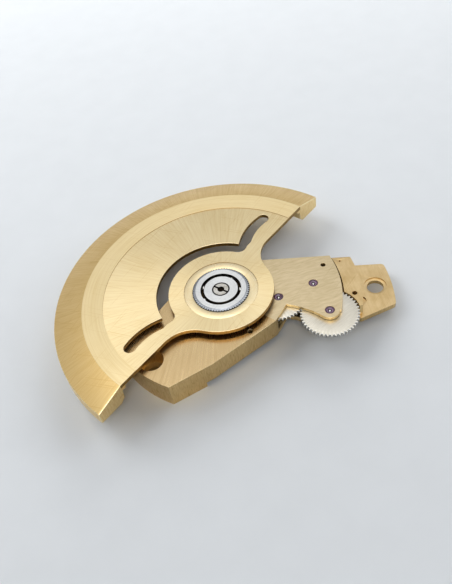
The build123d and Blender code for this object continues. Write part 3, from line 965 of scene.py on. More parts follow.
@dataclass(frozen=True)
class Dressing:
    """The finishes of a piece: one for each kind of its faces, and one for its rounded edges."""

    faces: Sequence[str]                # by their names in the palette
    choose: Callable[[MeshPolygon], int] = lambda face: 0
    edge: str = ""                      # none where no edge is rounded
    edge_width: float = 0.0
    keep_sharp: Callable[[Vector], bool] = lambda place: False

    def mark_edges(self, work: BMesh) -> None:
        """Mark the edges that get rounded, and those that stay sharp.

        Args:
            work: The mesh.
        """
        weight = work.edges.layers.float.new("bevel_weight_edge")
        for edge in work.edges:
            if len(edge.link_faces) == 2 and edge.calc_face_angle(0) < SHARP_ANGLE:
                continue
            if self.edge and not all(self.keep_sharp(vert.co / MM) for vert in edge.verts):
                edge[weight] = 1.0
            else:
                edge.smooth = False


@dataclass
class Workshop:
    """Where pieces get their finishes. It makes each of the palette's materials once."""

    palette: Palette
    made: dict[str, Material] = field(default_factory=dict)

    def material(self, name: str) -> Material:
        """Return the material of a finish by its name in the palette."""
        if name not in self.made:
            self.made[name] = getattr(self.palette, name).build()
        return self.made[name]

    def finish(self, name: str, mesh: Mesh, dressing: Dressing, body: str, slot: str,
               *replaced: str) -> None:
        """Make a finished piece of a mesh, and hide the CAD nodes that it stands for.

        Args:
            name: The piece's name.
            mesh: Its mesh, in place.
            dressing: Its finishes.
            body: The CAD body that it moves with.
            slot: The record's material slot. Not used.
            *replaced: The CAD nodes that it stands for.
        """
        piece = placed(name, mesh)
        self._dress(piece, dressing)
        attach(piece, body)
        if replaced:
            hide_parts(*replaced)
        log.info("%s: %d faces, rides on %s", name, len(mesh.polygons), body)

    def finish_node(self, node: str, finish: str) -> None:
        """Give a CAD node that stays in view its finish.

        Args:
            node: The node.
            finish: Its finish, by its name in the palette.
        """
        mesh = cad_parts[node].data
        mesh.materials.clear()
        mesh.materials.append(self.material(finish))
        log.info("%s: CAD node in %s", node, finish)

    def _dress(self, piece: Object, dressing: Dressing) -> None:
        """Give a piece its finishes, and round its sharp edges.

        Args:
            piece: The piece.
            dressing: Its finishes.
        """
        mesh = piece.data
        mesh.materials.clear()
        for name in dressing.faces:
            mesh.materials.append(self.material(name))
        for face in mesh.polygons:
            face.material_index = dressing.choose(face)
            face.use_smooth = True
        reworked(mesh, dressing.mark_edges)
        if dressing.edge:
            mesh.materials.append(self.material(dressing.edge))
            bevel = piece.modifiers.new("rounded edges", "BEVEL")
            bevel.limit_method = "WEIGHT"
            bevel.width = dressing.edge_width * MM
            bevel.segments = 2
            bevel.material = len(mesh.materials) - 1
        normals = piece.modifiers.new("flat faces", "WEIGHTED_NORMAL")
        normals.weight = 80
        normals.keep_sharp = True


@dataclass(frozen=True)
class Gear:
    """A toothed wheel: where it stands, and how it is cut."""

    at: Point
    teeth: int
    phase: float                        # azimuth of one tooth, degrees
    bore_r: float
    bottom: float
    thick: float
    module: float = TRAIN_MODULE
    addendum_share: float = 0.75        # of the module
    dedendum_share: float = 1.0
    tooth_steps: int = 12               # points round one tooth
    root_half_share: float = 0.32       # of the pitch, from a tooth's middle to its root's corner
    tip_half_share: float = 0.1

    def cut(self, tree: NodeTree, material: Material) -> Mesh:
        """Cut the wheel.

        Args:
            tree: The tree that cuts toothed wheels.
            material: What it is cut from.

        Returns:
            The wheel, in place.
        """
        pitch_r = self.teeth * self.module / 2
        return grown(tree, {
            "Teeth": self.teeth, "Steps": self.tooth_steps,
            "Root Radius": (pitch_r - self.dedendum_share * self.module) * MM,
            "Tip Radius": (pitch_r + self.addendum_share * self.module) * MM,
            "Bore Radius": self.bore_r * MM, "Root Half Share": self.root_half_share,
            "Tip Half Share": self.tip_half_share, "Phase": math.radians(self.phase),
            "Bottom": Vector((*self.at, self.bottom)) * MM, "Thickness": self.thick * MM,
            "Material": material,
        })


@dataclass
class Train:
    """The gears between the bridges, from the rotor's to the output pinion."""

    rotor_teeth: int = 52
    first_teeth: int = 41
    second_teeth: int = 46
    lower_teeth: int = 29
    reduction_teeth: int = 34
    first_azimuth: float = -12.0
    second_heading: float = -28.5
    wheel_bottom: float = 1.19
    wheel_thick: float = 0.2
    rotor_bore_r: float = 1.75
    rotor_gear_thick: float = 0.43
    lower_bottom: float = 0.5
    lower_thick: float = 0.18
    arbor_r: float = 0.24
    arbor_bottom: float = 0.02
    arbor_top: float = 1.43
    centre_mark_r: float = 0.07         # the lathe's centre mark in an arbor's lower end
    pivot_r: float = 0.115
    pivot_top: float = 1.66
    dome_steps: int = 8                 # chords of a pivot's domed end
    ratchet_teeth: int = 12
    ratchet_tip_r: float = 0.5
    ratchet_root_r: float = 0.4
    ratchet_top: float = 1.175
    ratchet_azimuth: float = 41.2       # of its first tooth
    output_teeth: int = 12
    output_module: float = 0.1
    output_top: float = -0.04
    output_thick: float = 0.32
    edge: float = 0.012

    def __post_init__(self) -> None:
        """Work out where each wheel stands, and in which phase it meshes."""
        span = self.reach(self.first_teeth, self.second_teeth)
        lower_reach = self.reach(self.lower_teeth, self.reduction_teeth)
        self.first_at = polar(self.reach(self.rotor_teeth, self.first_teeth), self.first_azimuth)
        self.second_at = polar(span, self.second_heading, self.first_at)
        reduction_heading = (self.second_heading
                             + math.degrees(math.acos(span / 2 / lower_reach)))
        self.reduction_at = polar(lower_reach, reduction_heading, self.first_at)
        back_heading = math.degrees(math.atan2(self.second_at[1] - self.reduction_at[1],
                                               self.second_at[0] - self.reduction_at[0]))
        self.first_phase = self.mesh_phase(0, self.rotor_teeth, self.first_azimuth,
                                           self.first_teeth)
        self.second_phase = self.mesh_phase(self.first_phase, self.first_teeth,
                                            self.second_heading, self.second_teeth)
        self.reduction_phase = self.mesh_phase(0, self.lower_teeth, reduction_heading,
                                               self.reduction_teeth)
        self.second_lower_phase = self.mesh_phase(self.reduction_phase, self.reduction_teeth,
                                                  back_heading, self.lower_teeth)

    @staticmethod
    def reach(teeth: int, other_teeth: int) -> float:
        """Return the distance between the axes of two gears in mesh."""
        return (teeth + other_teeth) * TRAIN_MODULE / 2

    @staticmethod
    def mesh_phase(phase: float, teeth: int, heading: float, other_teeth: int) -> float:
        """Return the phase that puts another gear in mesh with this one.

        Args:
            phase: This gear's phase, degrees.
            teeth: Its number of teeth.
            heading: Where the other gear stands, seen from this one.
            other_teeth: The other gear's number of teeth.

        Returns:
            The other gear's phase, degrees.
        """
        share = ((heading - phase) * teeth / 360) % 1
        return heading + 180 + (share + 0.5) * 360 / other_teeth

    def build(self, shop: Workshop) -> None:
        """Cut the wheels and arbors and finish them.

        Args:
            shop: Where they get their finishes.
        """
        tree = gear_tree()
        loose = {"bore_r": self.arbor_r + RUNNING_GAP, "bottom": self.wheel_bottom,
                 "thick": self.wheel_thick}
        lower = {"bore_r": self.arbor_r, "bottom": self.lower_bottom, "thick": self.lower_thick}
        for node, body, gear in (
                ("reverser_1_wheel", "first_wheel",
                 Gear(self.first_at, self.first_teeth, self.first_phase, **loose)),
                ("reverser_2_wheel", "second_wheel",
                 Gear(self.second_at, self.second_teeth, self.second_phase, **loose)),
                ("rotor_gear", "rotor", Gear((0, 0), self.rotor_teeth, 0, self.rotor_bore_r,
                                             self.wheel_bottom, self.rotor_gear_thick)),
                ("reduction_wheel", "reduction",
                 Gear(self.reduction_at, self.reduction_teeth, self.reduction_phase, **lower))):
            shop.finish(f"{node}_cut", gear.cut(tree, shop.material("wheel_face")), Dressing(
                ("wheel_face", "wheel_wall"), top_or_wall, "steel_edge", self.edge),
                body, "wheel_steel", node)

        steel = shop.material("ball_steel")
        output_bottom = self.output_top - self.output_thick
        arbors = (
            ("reverser_1_arbor", "first_arbor", self.first_at, self.arbor_bottom,
             Gear(self.first_at, self.lower_teeth, 0, **lower), [self._ratchet(self.first_at)]),
            ("reverser_2_arbor", "second_arbor", self.second_at, self.arbor_bottom,
             Gear(self.second_at, self.lower_teeth, self.second_lower_phase, **lower),
             [self._ratchet(self.second_at)]),
            ("reduction_arbor", "reduction", self.reduction_at, output_bottom,
             Gear(self.reduction_at, self.output_teeth, 0, self.arbor_r, output_bottom,
                  self.output_thick, self.output_module), []),
        )
        for node, body, at, bottom, gear, rest in arbors:
            shop.finish(f"{node}_turned",
                        joined([self._shaft(at, bottom), gear.cut(tree, steel), *rest]),
                        Dressing(("ball_steel",)), body, "wheel_steel", node)
        for number in (1, 2):
            shop.finish_node(f"reverser_{number}_clicks", "wheel_wall")
            shop.finish_node(f"reverser_{number}_click_pins", "wheel_wall")

    def _shaft(self, at: Point, bottom: float) -> Mesh:
        """Turn an arbor's shaft, with a centre mark below and a domed pivot above.

        Args:
            at: Where it stands.
            bottom: Height of its lower end.

        Returns:
            The shaft, in place.
        """
        dome = arc((0, self.pivot_top - self.pivot_r), self.pivot_r, 0, 90, self.dome_steps)
        profile = [(0, bottom + self.centre_mark_r), (self.centre_mark_r, bottom),
                   (self.arbor_r, bottom), (self.arbor_r, self.arbor_top),
                   (self.pivot_r, self.arbor_top), *dome]
        return turned(profile, at, ROD_FLATS)

    def _ratchet(self, at: Point) -> Mesh:
        """Return the ratchet above a reverser's lower gear, with its steep faces clockwise.

        Args:
            at: Where its arbor stands.

        Returns:
            The ratchet, in place.
        """
        step = 360 / self.ratchet_teeth
        corners = [polar(radius, self.ratchet_azimuth + step * tooth, at)
                   for tooth in range(self.ratchet_teeth)
                   for radius in (self.ratchet_tip_r, self.ratchet_root_r)]
        bottom = self.lower_bottom + self.lower_thick
        return slab(corners, bottom, self.ratchet_top - bottom)


@dataclass
class Bridges:
    """The two bridges with their jewels, and the screws that hold them together."""

    train: Train
    screw_hole_r: float = 0.19
    screw_ends_at: tuple[Point, ...] = ((8.05, 12.0), (4.13, -65.0), (4.24, -135.0))
    screw_head_r: float = 0.42
    screw_head_thick: float = 0.2
    screw_head_gap: float = 0.05
    screw_end: float = 1.5
    screw_slot_wide: float = 0.14
    screw_slot_deep: float = 0.08
    screw_slot_turn: float = 40.0       # from one screw's slot to the next one's, degrees
    screw_edge: float = 0.02
    oil_hole_r: float = 0.08
    oil_hole_depth: float = 0.3
    oil_hole_at: Point = (9.46, 12.7)   # radius and azimuth, as the screws' ends
    jewel_r: float = 0.36
    jewel_top: float = 1.68
    jewel_bottom: float = 1.46
    jewel_hole_r: float = 0.13
    jewel_chamfer: float = 0.025
    jewel_flats: int = 64
    cup_r: float = 0.25
    cup_depth: float = 0.07
    cup_shares: tuple[float, ...] = (0.0, 0.25, 0.5, 0.7, 0.85, 0.95, 1.0)  # across its curve
    cup_normals: Point = (0.05, 0.98)   # Z of them, from its steepest to its flattest face
    seam_azimuth: float = -40.0         # where the plate's two ways of drawing meet
    tool_nick_at: Point = (10.17, -1.25)    # where a cutter has run into the lug
    tool_nick_r: float = 0.42
    tool_nick_depth: float = 0.15
    tool_nick_lift: float = 0.02        # it leaves the step's wall over this height whole
    lug_top: float = 0.42
    groove_wide: float = 0.15           # the dark line of painted shade round the plate's foot
    groove_deep: float = 0.06
    groove_shares: Point = (0.2, 1.2)   # of its depth, between which its faces lie
    edge: float = 0.05

    def __post_init__(self) -> None:
        """Work out where the screws stand, and which way the plate's seam looks."""
        self.screws_at = [polar(*at) for at in self.screw_ends_at]
        self.across_seam = (*polar(1, self.seam_azimuth + 90), 0)

    def build(self, shop: Workshop) -> None:
        """Cut the bridges and set their jewels and screws.

        Args:
            shop: Where they get their finishes.
        """
        shop.finish("upper_bridge_plate", self._plate(), Dressing(
            ("bridge_top", "bridge_fan", "bridge_wall"), self._plate_face, "bridge_edge",
            self.edge), "module", "bridge_brass", "upper_bridge")
        shop.finish("lower_bridge_block", self._block(), Dressing(
            ("lug_satin", "bridge_wall", "painted_shade_brass"), self._block_face, "bridge_edge",
            self.edge), "module", "bridge_brass", "lower_bridge")
        for number, at in enumerate(self.screws_at, start=1):
            # A screw's end, seen down its hole, is painted nearly black as shade
            shop.finish(f"bridge_screw_{number}", self._screw(at, self.screw_slot_turn * number),
                        Dressing(("screw_steel", "painted_shade_steel"), self._screw_face, "steel_edge",
                                 self.screw_edge), "module", "bearing_steel")
        for number, at in enumerate(
                (self.train.first_at, self.train.reduction_at, self.train.second_at), start=1):
            shop.finish(f"upper_jewel_{number}_cut", self._jewel(at),
                        Dressing(("ruby", "ruby_cup_painted_sheen"), self._jewel_face), "module", "ruby",
                        f"upper_jewel_{number}")

    def _at_screws(self, radius: float, bottom: float, top: float) -> list[Mesh]:
        """Return what a drill cuts at every screw, between two heights."""
        return [drill(radius, bottom, top, at) for at in self.screws_at]

    def _plate(self) -> Mesh:
        """Drill the upper bridge, and part its faces where its two ways of drawing meet."""
        holes = self._at_screws(self.screw_hole_r, BLOCK_TOP - OVERRUN, PLATE_TOP + OVERRUN)
        return reworked(cut(copy_of("upper_bridge"), *holes), self._part_faces)

    def _part_faces(self, work: BMesh) -> None:
        """Part the plate's faces along its seam."""
        bmesh.ops.bisect_plane(work, geom=[*work.verts, *work.edges, *work.faces],
                               plane_co=(0, 0, 0), plane_no=self.across_seam)

    def _plate_face(self, face: MeshPolygon) -> int:
        """Return which finish a face of the plate has: lapped, drawn in a fan, or milled."""
        if not looks_up(face):
            return 2
        return 0 if face.center.dot(Vector(self.across_seam)) > 0 else 1

    def _block(self) -> Mesh:
        """Drill the lower bridge, and cut the tool's nick and the groove in it.

        Returns:
            The block.
        """
        seats = self._at_screws(self.screw_head_r + self.screw_head_gap, -OVERRUN,
                                self.screw_head_thick)
        bores = self._at_screws(self.screw_hole_r, -OVERRUN, BLOCK_TOP + OVERRUN)
        oil_hole = drill(self.oil_hole_r, BLOCK_TOP - self.oil_hole_depth, BLOCK_TOP + OVERRUN,
                         polar(*self.oil_hole_at))
        nick = drill(self.tool_nick_r, self.lug_top - self.tool_nick_depth,
                     self.lug_top + self.tool_nick_lift, self.tool_nick_at)
        outside = spread(copy_of("upper_bridge"), self.groove_wide, BLOCK_TOP - self.groove_deep,
                         BLOCK_TOP + self.groove_deep)
        inside = spread(copy_of("upper_bridge"), 0, BLOCK_TOP - OVERRUN, BLOCK_TOP + OVERRUN)
        return cut(copy_of("lower_bridge"), *seats, *bores, oil_hole, nick, cut(outside, inside))

    def _block_face(self, face: MeshPolygon) -> int:
        """Choose stoned, milled or, in the groove, painted-shade brass for a face of the block.

        Args:
            face: The face.

        Returns:
            The finish's number in the dressing.
        """
        share = (BLOCK_TOP - face.center.z / MM) / self.groove_deep
        in_groove = self.groove_shares[0] < share < self.groove_shares[1]
        return 2 if in_groove else top_or_wall(face)

    def _screw(self, at: Point, heading: float) -> Mesh:
        """Turn a bridge screw with its slotted head in the lower bridge's underside.

        Args:
            at: Where it stands.
            heading: Where its slot points, in degrees.

        Returns:
            The screw, in place.
        """
        shank_r = self.screw_hole_r - RUNNING_GAP
        body = turned([(0, 0), (self.screw_head_r, 0), (self.screw_head_r, self.screw_head_thick),
                       (shank_r, self.screw_head_thick), (shank_r, self.screw_end),
                       (0, self.screw_end)], at, ROD_FLATS)
        return cut(body, saw(at, self.screw_head_r, self.screw_slot_wide, heading,
                             -self.screw_slot_deep, 2 * self.screw_slot_deep))

    def _screw_face(self, face: MeshPolygon) -> int:
        """Return 0 for a face on the outside of a screw's head, and 1, of painted shade, for any
        deeper one.
        """
        return int(face.center.z > self.screw_slot_deep / 2 * MM)

    def _jewel(self, at: Point) -> Mesh:
        """Turn a ring jewel with its oil cup.

        Args:
            at: Where it stands.

        Returns:
            The jewel, in place.
        """
        cup = [(self.jewel_hole_r + (self.cup_r - self.jewel_hole_r) * share,
                self.jewel_top - self.cup_depth * math.sqrt(1 - share**2))
               for share in self.cup_shares]
        return turned([(self.jewel_hole_r, self.jewel_bottom), (self.jewel_r, self.jewel_bottom),
                       (self.jewel_r, self.jewel_top - self.jewel_chamfer),
                       (self.jewel_r - self.jewel_chamfer, self.jewel_top), *reversed(cup)],
                      at, self.jewel_flats)

    def _jewel_face(self, face: MeshPolygon) -> int:
        """Return 1 for a face of a jewel's oil cup, painted paler as sheen, and 0 for any other.
        """
        in_cup = face.center.z > (self.jewel_top - self.cup_depth) * MM
        return int(in_cup and self.cup_normals[0] < face.normal.z < self.cup_normals[1])


@dataclass
class Bearing:
    """The ball bearing in the rotor's middle, on the post of the lower bridge."""

    inner_r: float = 1.33
    inner_bottom: float = 1.72
    inner_top: float = 2.42
    inner_chamfer: float = 0.07         # nearly black as painted shade, so that the gap looks wide
    head_r: float = 0.6
    head_seat: float = 2.19
    head_chamfer: float = 0.045         # painted shade round the head and in its seat
    head_flats: int = 72
    screw_r: float = 0.25
    screw_end: float = 1.24
    slot_wide: float = 0.15
    slot_depth: float = 0.12
    slot_heading: float = -38.0
    slot_floor_share: float = 1.1       # of its depth, within which its floor's face lies
    dimple_r: float = 0.26              # the slot's middle, worn wide by screwdrivers
    outer_bore_r: float = 1.52
    outer_r: float = 2.118
    outer_bottom: float = 1.62
    outer_top: float = 2.445
    band_r: float = 1.95                # inside the outer ring's bluish band
    band_line: float = 0.025            # the fine groove between band and ring
    band_drop: float = 0.05
    band_drop_share: float = 1.2        # of it, below which the edge's faces are painted shade
    notches: int = 66
    notch_depth: float = 0.09
    notch_height: float = 0.2
    notch_share: float = 0.5            # of the pitch that a notch takes
    notch_start_share: float = 0.25     # so that no flat's corner stands at a notch's end
    notch_flats: int = 6                # of the ring, to one notch's pitch
    notch_drop_share: float = 1.5       # of the band's drop, below which no corner is pressed in
    race_height: float = 2.08
    race_steps: int = 10                # chords across a race
    ball_r: float = 0.2
    balls: int = 7

    def __post_init__(self) -> None:
        """Work out the races, in which the balls run between the rings."""
        self.track_r = (self.inner_r + self.outer_bore_r) / 2
        self.race = (self.track_r, self.race_height)
        self.groove_r = self.ball_r + RUNNING_GAP
        self.half_groove = math.degrees(math.acos((self.outer_bore_r - self.track_r)
                                                  / self.groove_r))

    def build(self, shop: Workshop) -> None:
        """Turn the rings and the screw, and set the balls.

        Args:
            shop: Where they get their finishes.
        """
        shop.finish("bearing_outer_ring_turned", self._outer_ring(shop.material("ring_steel")),
                    Dressing(("ring_steel", "band_steel", "painted_shade_steel"), self._band_face),
                    "rotor", "bearing_steel", "bearing_outer_ring")
        # Every wall of the inner ring, its chamfer too, is painted shade
        shop.finish("bearing_inner_ring_turned", self._inner_ring(),
                    Dressing(("ring_steel", "painted_shade_steel"), top_or_wall), "module",
                    "bearing_steel", "bearing_inner_ring")
        shop.finish("bearing_screw_turned", self._screw(),
                    Dressing(("screw_steel", "steel_edge", "painted_shade_steel"), self._recess_face),
                    "module", "bearing_steel", "bearing_screw")
        balls = grown(ball_tree(), {
            "Balls": self.balls, "Track Radius": self.track_r * MM,
            "Ball Radius": self.ball_r * MM, "Height": Vector((0, 0, self.race_height)) * MM,
            "Material": shop.material("ball_steel"),
        })
        shop.finish("bearing_balls_round", balls, Dressing(("ball_steel",)), "cage",
                    "bearing_steel", "bearing_balls")
        # The cage is painted nearly black, as the shade in the bearing's gap
        shop.finish_node("ball_cage", "cage_brass")
        shop.finish_node("bearing_post", "ring_steel")

    def _outer_ring(self, material: Material) -> Mesh:
        """Turn the outer ring with its race, and notch its edge.

        Args:
            material: What it is made of.

        Returns:
            The ring.
        """
        profile = [(self.outer_bore_r, self.outer_bottom), (self.outer_r, self.outer_bottom),
                   (self.outer_r, self.outer_top - self.notch_height),
                   (self.outer_r, self.outer_top - self.band_drop), (self.band_r, self.outer_top),
                   (self.band_r - self.band_line, self.outer_top - self.band_line),
                   (self.band_r - 2 * self.band_line, self.outer_top),
                   (self.outer_bore_r, self.outer_top),
                   *arc(self.race, self.groove_r, self.half_groove, -self.half_groove,
                        self.race_steps)]
        return grown(notch_tree(), {
            "Notches": self.notches, "Notch Share": self.notch_share,
            "Start Share": self.notch_start_share, "Depth": self.notch_depth * MM,
            "From Radius": (self.outer_r - self.notch_depth) * MM,
            "From Height": (self.outer_top - self.notch_drop_share * self.band_drop) * MM,
            "Material": material,
        }, turned(profile, flats=self.notch_flats * self.notches))

    def _inner_ring(self) -> Mesh:
        """Turn the inner ring with its race and the seat of the screw's head.

        Returns:
            The ring.
        """
        seat_r = self.head_r + RUNNING_GAP
        bore_r = self.screw_r + RUNNING_GAP
        return turned([(self.inner_r, self.inner_top - self.inner_chamfer),
                       (self.inner_r - self.inner_chamfer, self.inner_top),
                       (seat_r + self.head_chamfer, self.inner_top),
                       (seat_r, self.inner_top - self.head_chamfer), (seat_r, self.head_seat),
                       (bore_r, self.head_seat), (bore_r, self.inner_bottom),
                       (self.inner_r, self.inner_bottom),
                       *arc(self.race, self.groove_r, 180 + self.half_groove,
                            180 - self.half_groove, self.race_steps)])

    def _screw(self) -> Mesh:
        """Turn the screw, saw its slot and wear the slot's middle wide.

        Returns:
            The screw.
        """
        body = turned([(0, self.screw_end), (self.screw_r, self.screw_end),
                       (self.screw_r, self.head_seat), (self.head_r, self.head_seat),
                       (self.head_r, self.inner_top - self.head_chamfer),
                       (self.head_r - self.head_chamfer, self.inner_top), (0, self.inner_top)],
                      flats=self.head_flats)
        floor = self.inner_top - self.slot_depth
        return cut(body, saw((0, 0), self.head_r, self.slot_wide, self.slot_heading, floor,
                             2 * self.slot_depth),
                   drill(self.dimple_r, floor, self.inner_top + OVERRUN))

    def _band_face(self, face: MeshPolygon) -> int:
        """Choose ground, blued or painted-shade steel for a face of the outer ring.

        Args:
            face: The face.

        Returns:
            The finish's number in the dressing.
        """
        radius, drop = face.center.xy.length / MM, self.outer_top - face.center.z / MM
        in_notch = (radius > self.outer_r - self.notch_depth
                    and drop > self.band_drop_share * self.band_drop)
        in_bore = radius < self.outer_bore_r + self.band_line and not looks_up(face)
        if in_notch or in_bore:
            return 2
        return int(radius > self.band_r - 2 * self.band_line)

    def _recess_face(self, face: MeshPolygon) -> int:
        """Choose ground top, plain wall or painted-shade recess for a face of the screw.

        Args:
            face: The face.

        Returns:
            The finish's number in the dressing.
        """
        drop = self.inner_top - face.center.z / MM
        if looks_up(face) and drop < self.slot_depth / 2:
            return 0
        return 2 if drop < self.slot_floor_share * self.slot_depth else 1


@dataclass
class Rotor:
    """The half-disc rotor: its web, its heavy rim and the bush in its middle."""

    top: float = 2.4
    web_r: float = 10.48
    recess_r: float = 8.884             # inside it the web lies lower
    recess_depth: float = 0.03
    recess_flats: int = 240
    web_bottom: float = 2.04
    rim_r: float = 12.75
    bevel_drop: float = 0.7
    rim_bottom: float = 0.65
    inner_r: float = 10.43
    inner_chamfer: float = 0.37
    ledge_r: float = 10.1
    ledge_bottom: float = 1.79
    end_inset: float = 0.24
    segments: int = 181
    hub_r: float = 2.77
    hub_bore_r: float = 2.118
    hub_bottom: float = 1.85
    hub_top: float = 2.35
    edge: float = 0.03
    rim_edge: float = 0.05
    near: float = 0.02                  # how far from a line a corner is still on it
    ledge_near: float = 0.1

    def build(self, shop: Workshop) -> None:
        """Cut the web, sweep the rim and turn the bush.

        Args:
            shop: Where they get their finishes.
        """
        floor, above = self.top - self.recess_depth, self.top + OVERRUN
        recess = turned([(0, floor), (self.recess_r, floor), (self.recess_r, above), (0, above)],
                        flats=self.recess_flats)
        # The web's walls and underside are painted a darker gilt, as shade
        shop.finish("rotor_web_brushed", cut(copy_of("rotor_web"), recess), Dressing(
            ("web_sunburst", "ring_satin", "painted_shade_web_wall"), self._web_face, "gilt_edge", self.edge,
            self._on_joint), "rotor", "rotor_gilt", "rotor_web")
        shop.finish("rotor_weight_turned", self._weight(shop.material("rim_satin")), Dressing(
            ("rim_satin", "gilt_milled"), top_or_wall, "gilt_edge", self.rim_edge,
            self._on_joint), "rotor", "rotor_gilt", "rotor_weight")
        bush = [(self.hub_bore_r, self.hub_bottom), (self.hub_r, self.hub_bottom),
                (self.hub_r, self.hub_top), (self.hub_bore_r, self.hub_top)]
        shop.finish("rotor_hub_polished", turned(bush), Dressing(
            ("hub_polish", "gilt_milled"), top_or_wall, "gilt_edge", self.edge), "rotor",
            "polished_gilt", "rotor_hub")

    def _weight(self, material: Material) -> Mesh:
        """Sweep the rim's profile: bevel, outer wall, chamfered inner foot, and ledge for the web.

        Args:
            material: What it is made of.

        Returns:
            The rim.
        """
        corners = [(self.web_r, self.top), (self.rim_r, self.top - self.bevel_drop),
                   (self.rim_r, self.rim_bottom),
                   (self.inner_r + self.inner_chamfer, self.rim_bottom),
                   (self.inner_r, self.rim_bottom + self.inner_chamfer),
                   (self.inner_r, self.ledge_bottom), (self.ledge_r, self.ledge_bottom),
                   (self.ledge_r, self.web_bottom), (self.web_r, self.web_bottom)]
        count = len(corners)
        profile = from_places("rim_profile", [(*corner, 0) for corner in corners],
                              [(at, (at + 1) % count) for at in range(count)], [])
        return grown(rim_tree(), {
            "Segments": self.segments, "End Inset": self.end_inset * MM,
            "Heading": math.radians(ROTOR_HEADING), "Material": material,
        }, profile)

    def _web_face(self, face: MeshPolygon) -> int:
        """Return which finish a face of the web has: rays, lapped, or walls darkened as painted
        shade.
        """
        if not looks_up(face):
            return 2
        return 1 if face.center.z > (self.top - self.recess_depth / 2) * MM else 0

    def _on_joint(self, place: Vector) -> bool:
        """Say whether a corner lies where two pieces meet, or on the recess's edge.

        Args:
            place: The corner, in millimetres.

        Returns:
            Whether its edges stay sharp there.
        """
        radius = place.xy.length
        in_ledge = self.ledge_r - self.ledge_near < radius < self.web_r + self.near
        on_recess = abs(radius - self.recess_r) < self.near
        at_hub = radius < self.hub_r + self.near
        return place.z > self.ledge_bottom - self.near and (in_ledge or on_recess or at_hub)


@dataclass(frozen=True)
class Lamp:
    """A soft square lamp that faces the module."""

    name: str
    at: Triple
    size: float                         # of its side
    power: float                        # watts
    mirrored: bool = False              # it only shines in metal, or else lights only matt faces

    def hang(self) -> None:
        """Hang the lamp in the scene."""
        data = bpy.data.lights.new(self.name, "AREA")
        data.size = self.size * MM
        data.energy = self.power
        lamp = placed(self.name, data)
        lamp.location = Vector(self.at) * MM
        lamp.rotation_euler = (-lamp.location).to_track_quat("-Z", "Y").to_euler()
        lamp.visible_glossy = self.mirrored
        lamp.visible_diffuse = not self.mirrored


@dataclass(frozen=True)
class Tent:
    """A light tent of white cloth round the module, open above and on the camera's side.

    The camera and what mirrors see its parts, and matt faces get an even light. The ranges are
    of the X, Y and Z of a direction.
    """

    even: str = "#F4F7FF"
    even_strength: float = 0.13
    cloth: str = "#C3C4C7"
    right_cloth: str = "#F4F5F6"        # brighter, lit from behind
    opening: str = "#FFFFFF"
    overhead: Point = (0.52, 0.82)      # Z from the cloth to the opening above
    opening_x: float = -0.14            # X of that opening's middle
    opening_half: Point = (0.4, 0.85)   # from its middle sideways, where it dims
    dimmed: float = 0.2                 # what is left of it there
    camera_side: Point = (-0.3, -0.8)   # Y from the cloth to the opening there
    right: Point = (0.4, 0.75)          # X from the plain cloth to the brighter one

    def hang(self) -> None:
        """Put the tent round the scene as its world."""
        world = bpy.data.worlds.new("studio")
        bpy.context.scene.world = world
        tree = emptied(world)
        towards = add(tree, "ShaderNodeSeparateXYZ",
                      {0: add(tree, "ShaderNodeTexCoord").outputs["Generated"]}).outputs
        above = ramp(tree, towards["Z"], self.overhead, eased=True)
        sideways = calc(tree, "ABSOLUTE", calc(tree, "SUBTRACT", towards["X"], self.opening_x))
        middle = ramp(tree, sideways, self.opening_half, (1.0, self.dimmed), eased=True)
        before = ramp(tree, towards["Y"], self.camera_side, eased=True)
        share = calc(tree, "MAXIMUM", before, calc(tree, "MULTIPLY", above, middle))
        sides = blended(tree, ramp(tree, towards["X"], self.right, eased=True), self.cloth,
                        self.right_cloth)
        mirrored = add(tree, "ShaderNodeBackground",
                       {"Color": blended(tree, share, sides, self.opening), "Strength": 1.0})
        even = add(tree, "ShaderNodeBackground",
                   {"Color": linear(self.even), "Strength": self.even_strength})
        path = add(tree, "ShaderNodeLightPath").outputs
        seen = calc(tree, "MAXIMUM", path["Is Camera Ray"], path["Is Glossy Ray"])
        seen = calc(tree, "MAXIMUM", seen, path["Is Transmission Ray"])
        add(tree, "ShaderNodeOutputWorld", {
            "Surface": add(tree, "ShaderNodeMixShader", {0: seen, 1: even, 2: mirrored})})


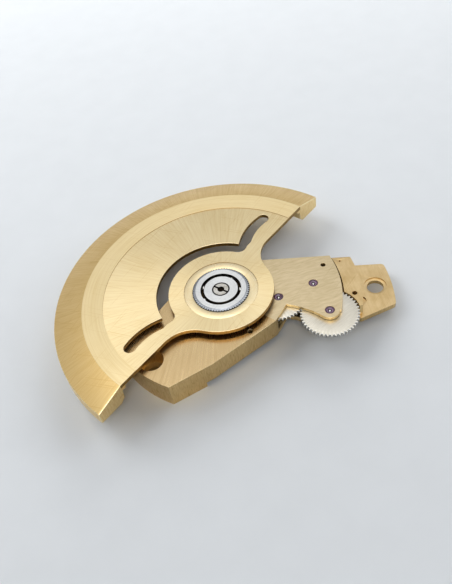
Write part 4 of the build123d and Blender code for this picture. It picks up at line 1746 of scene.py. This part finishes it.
@dataclass
class Studio:
    """The camera, the lamps, the light tent and the table."""

    camera_at: Triple = (2.1226, -34.324, 40.692)
    camera_turn: Triple = (41.184, 6.693, -4.614)   # degrees
    lens: float = 42.91                 # focal length
    nearest: float = 1.0                # what the camera sees, from here
    furthest: float = 10_000.0
    table_height: float = -0.46
    table_half: float = 900.0
    table: Table = Table()
    tent: Tent = Tent()
    lamps: tuple[Lamp, ...] = (
        # A low ring of lamps round the tent gives the table its soft shadows
        Lamp("low_back", (20, 175, 55), size=100, power=0.185),
        Lamp("low_left", (-130, 120, 60), size=100, power=0.075),
        Lamp("low_right", (170, 50, 55), size=100, power=0.11),
        Lamp("left", (-160, 0, 110), size=120, power=0.055),
        Lamp("back_left", (-120, 110, 120), size=120, power=0.17),
        Lamp("back_right", (120, 110, 120), size=120, power=0.075),
        Lamp("camera_side", (5, -120, 150), size=80, power=0.065),
        # Two more show only in the metal
        Lamp("top", (-30, 20, 196), size=155, power=0.060, mirrored=True),
        Lamp("front", (-10, -150, 132), size=170, power=0.15, mirrored=True),
    )

    def build(self) -> None:
        """Set up all of it."""
        bpy.context.scene.view_settings.view_transform = "Standard"
        self._camera()
        self._floor()
        self.tent.hang()
        for lamp in self.lamps:
            lamp.hang()

    def _camera(self) -> None:
        """Stand the camera where the photograph was taken."""
        data = bpy.data.cameras.new("camera")
        data.lens = self.lens
        data.clip_start, data.clip_end = self.nearest * MM, self.furthest * MM
        camera = placed("camera", data)
        camera.location = Vector(self.camera_at) * MM
        camera.rotation_euler = [math.radians(turn) for turn in self.camera_turn]
        bpy.context.scene.camera = camera

    def _floor(self) -> None:
        """Lay the table under the module's foot."""
        half = self.table_half
        corners = [(x, y, self.table_height)
                   for x, y in ((-half, -half), (half, -half), (half, half), (-half, half))]
        floor = placed("floor", from_places("floor", corners, [], [(0, 1, 2, 3)]))
        floor.data.materials.append(self.table.build())


def main() -> None:
    """Build the module piece by piece, and log each piece's faces."""
    logging.basicConfig(level=logging.INFO, format="%(name)s: %(message)s")
    Studio().build()
    shop = Workshop(Palette())
    train = Train()
    for assembly in (Bridges(train), train, Bearing(), Rotor()):
        assembly.build(shop)


if __name__ == "__main__":
    main()
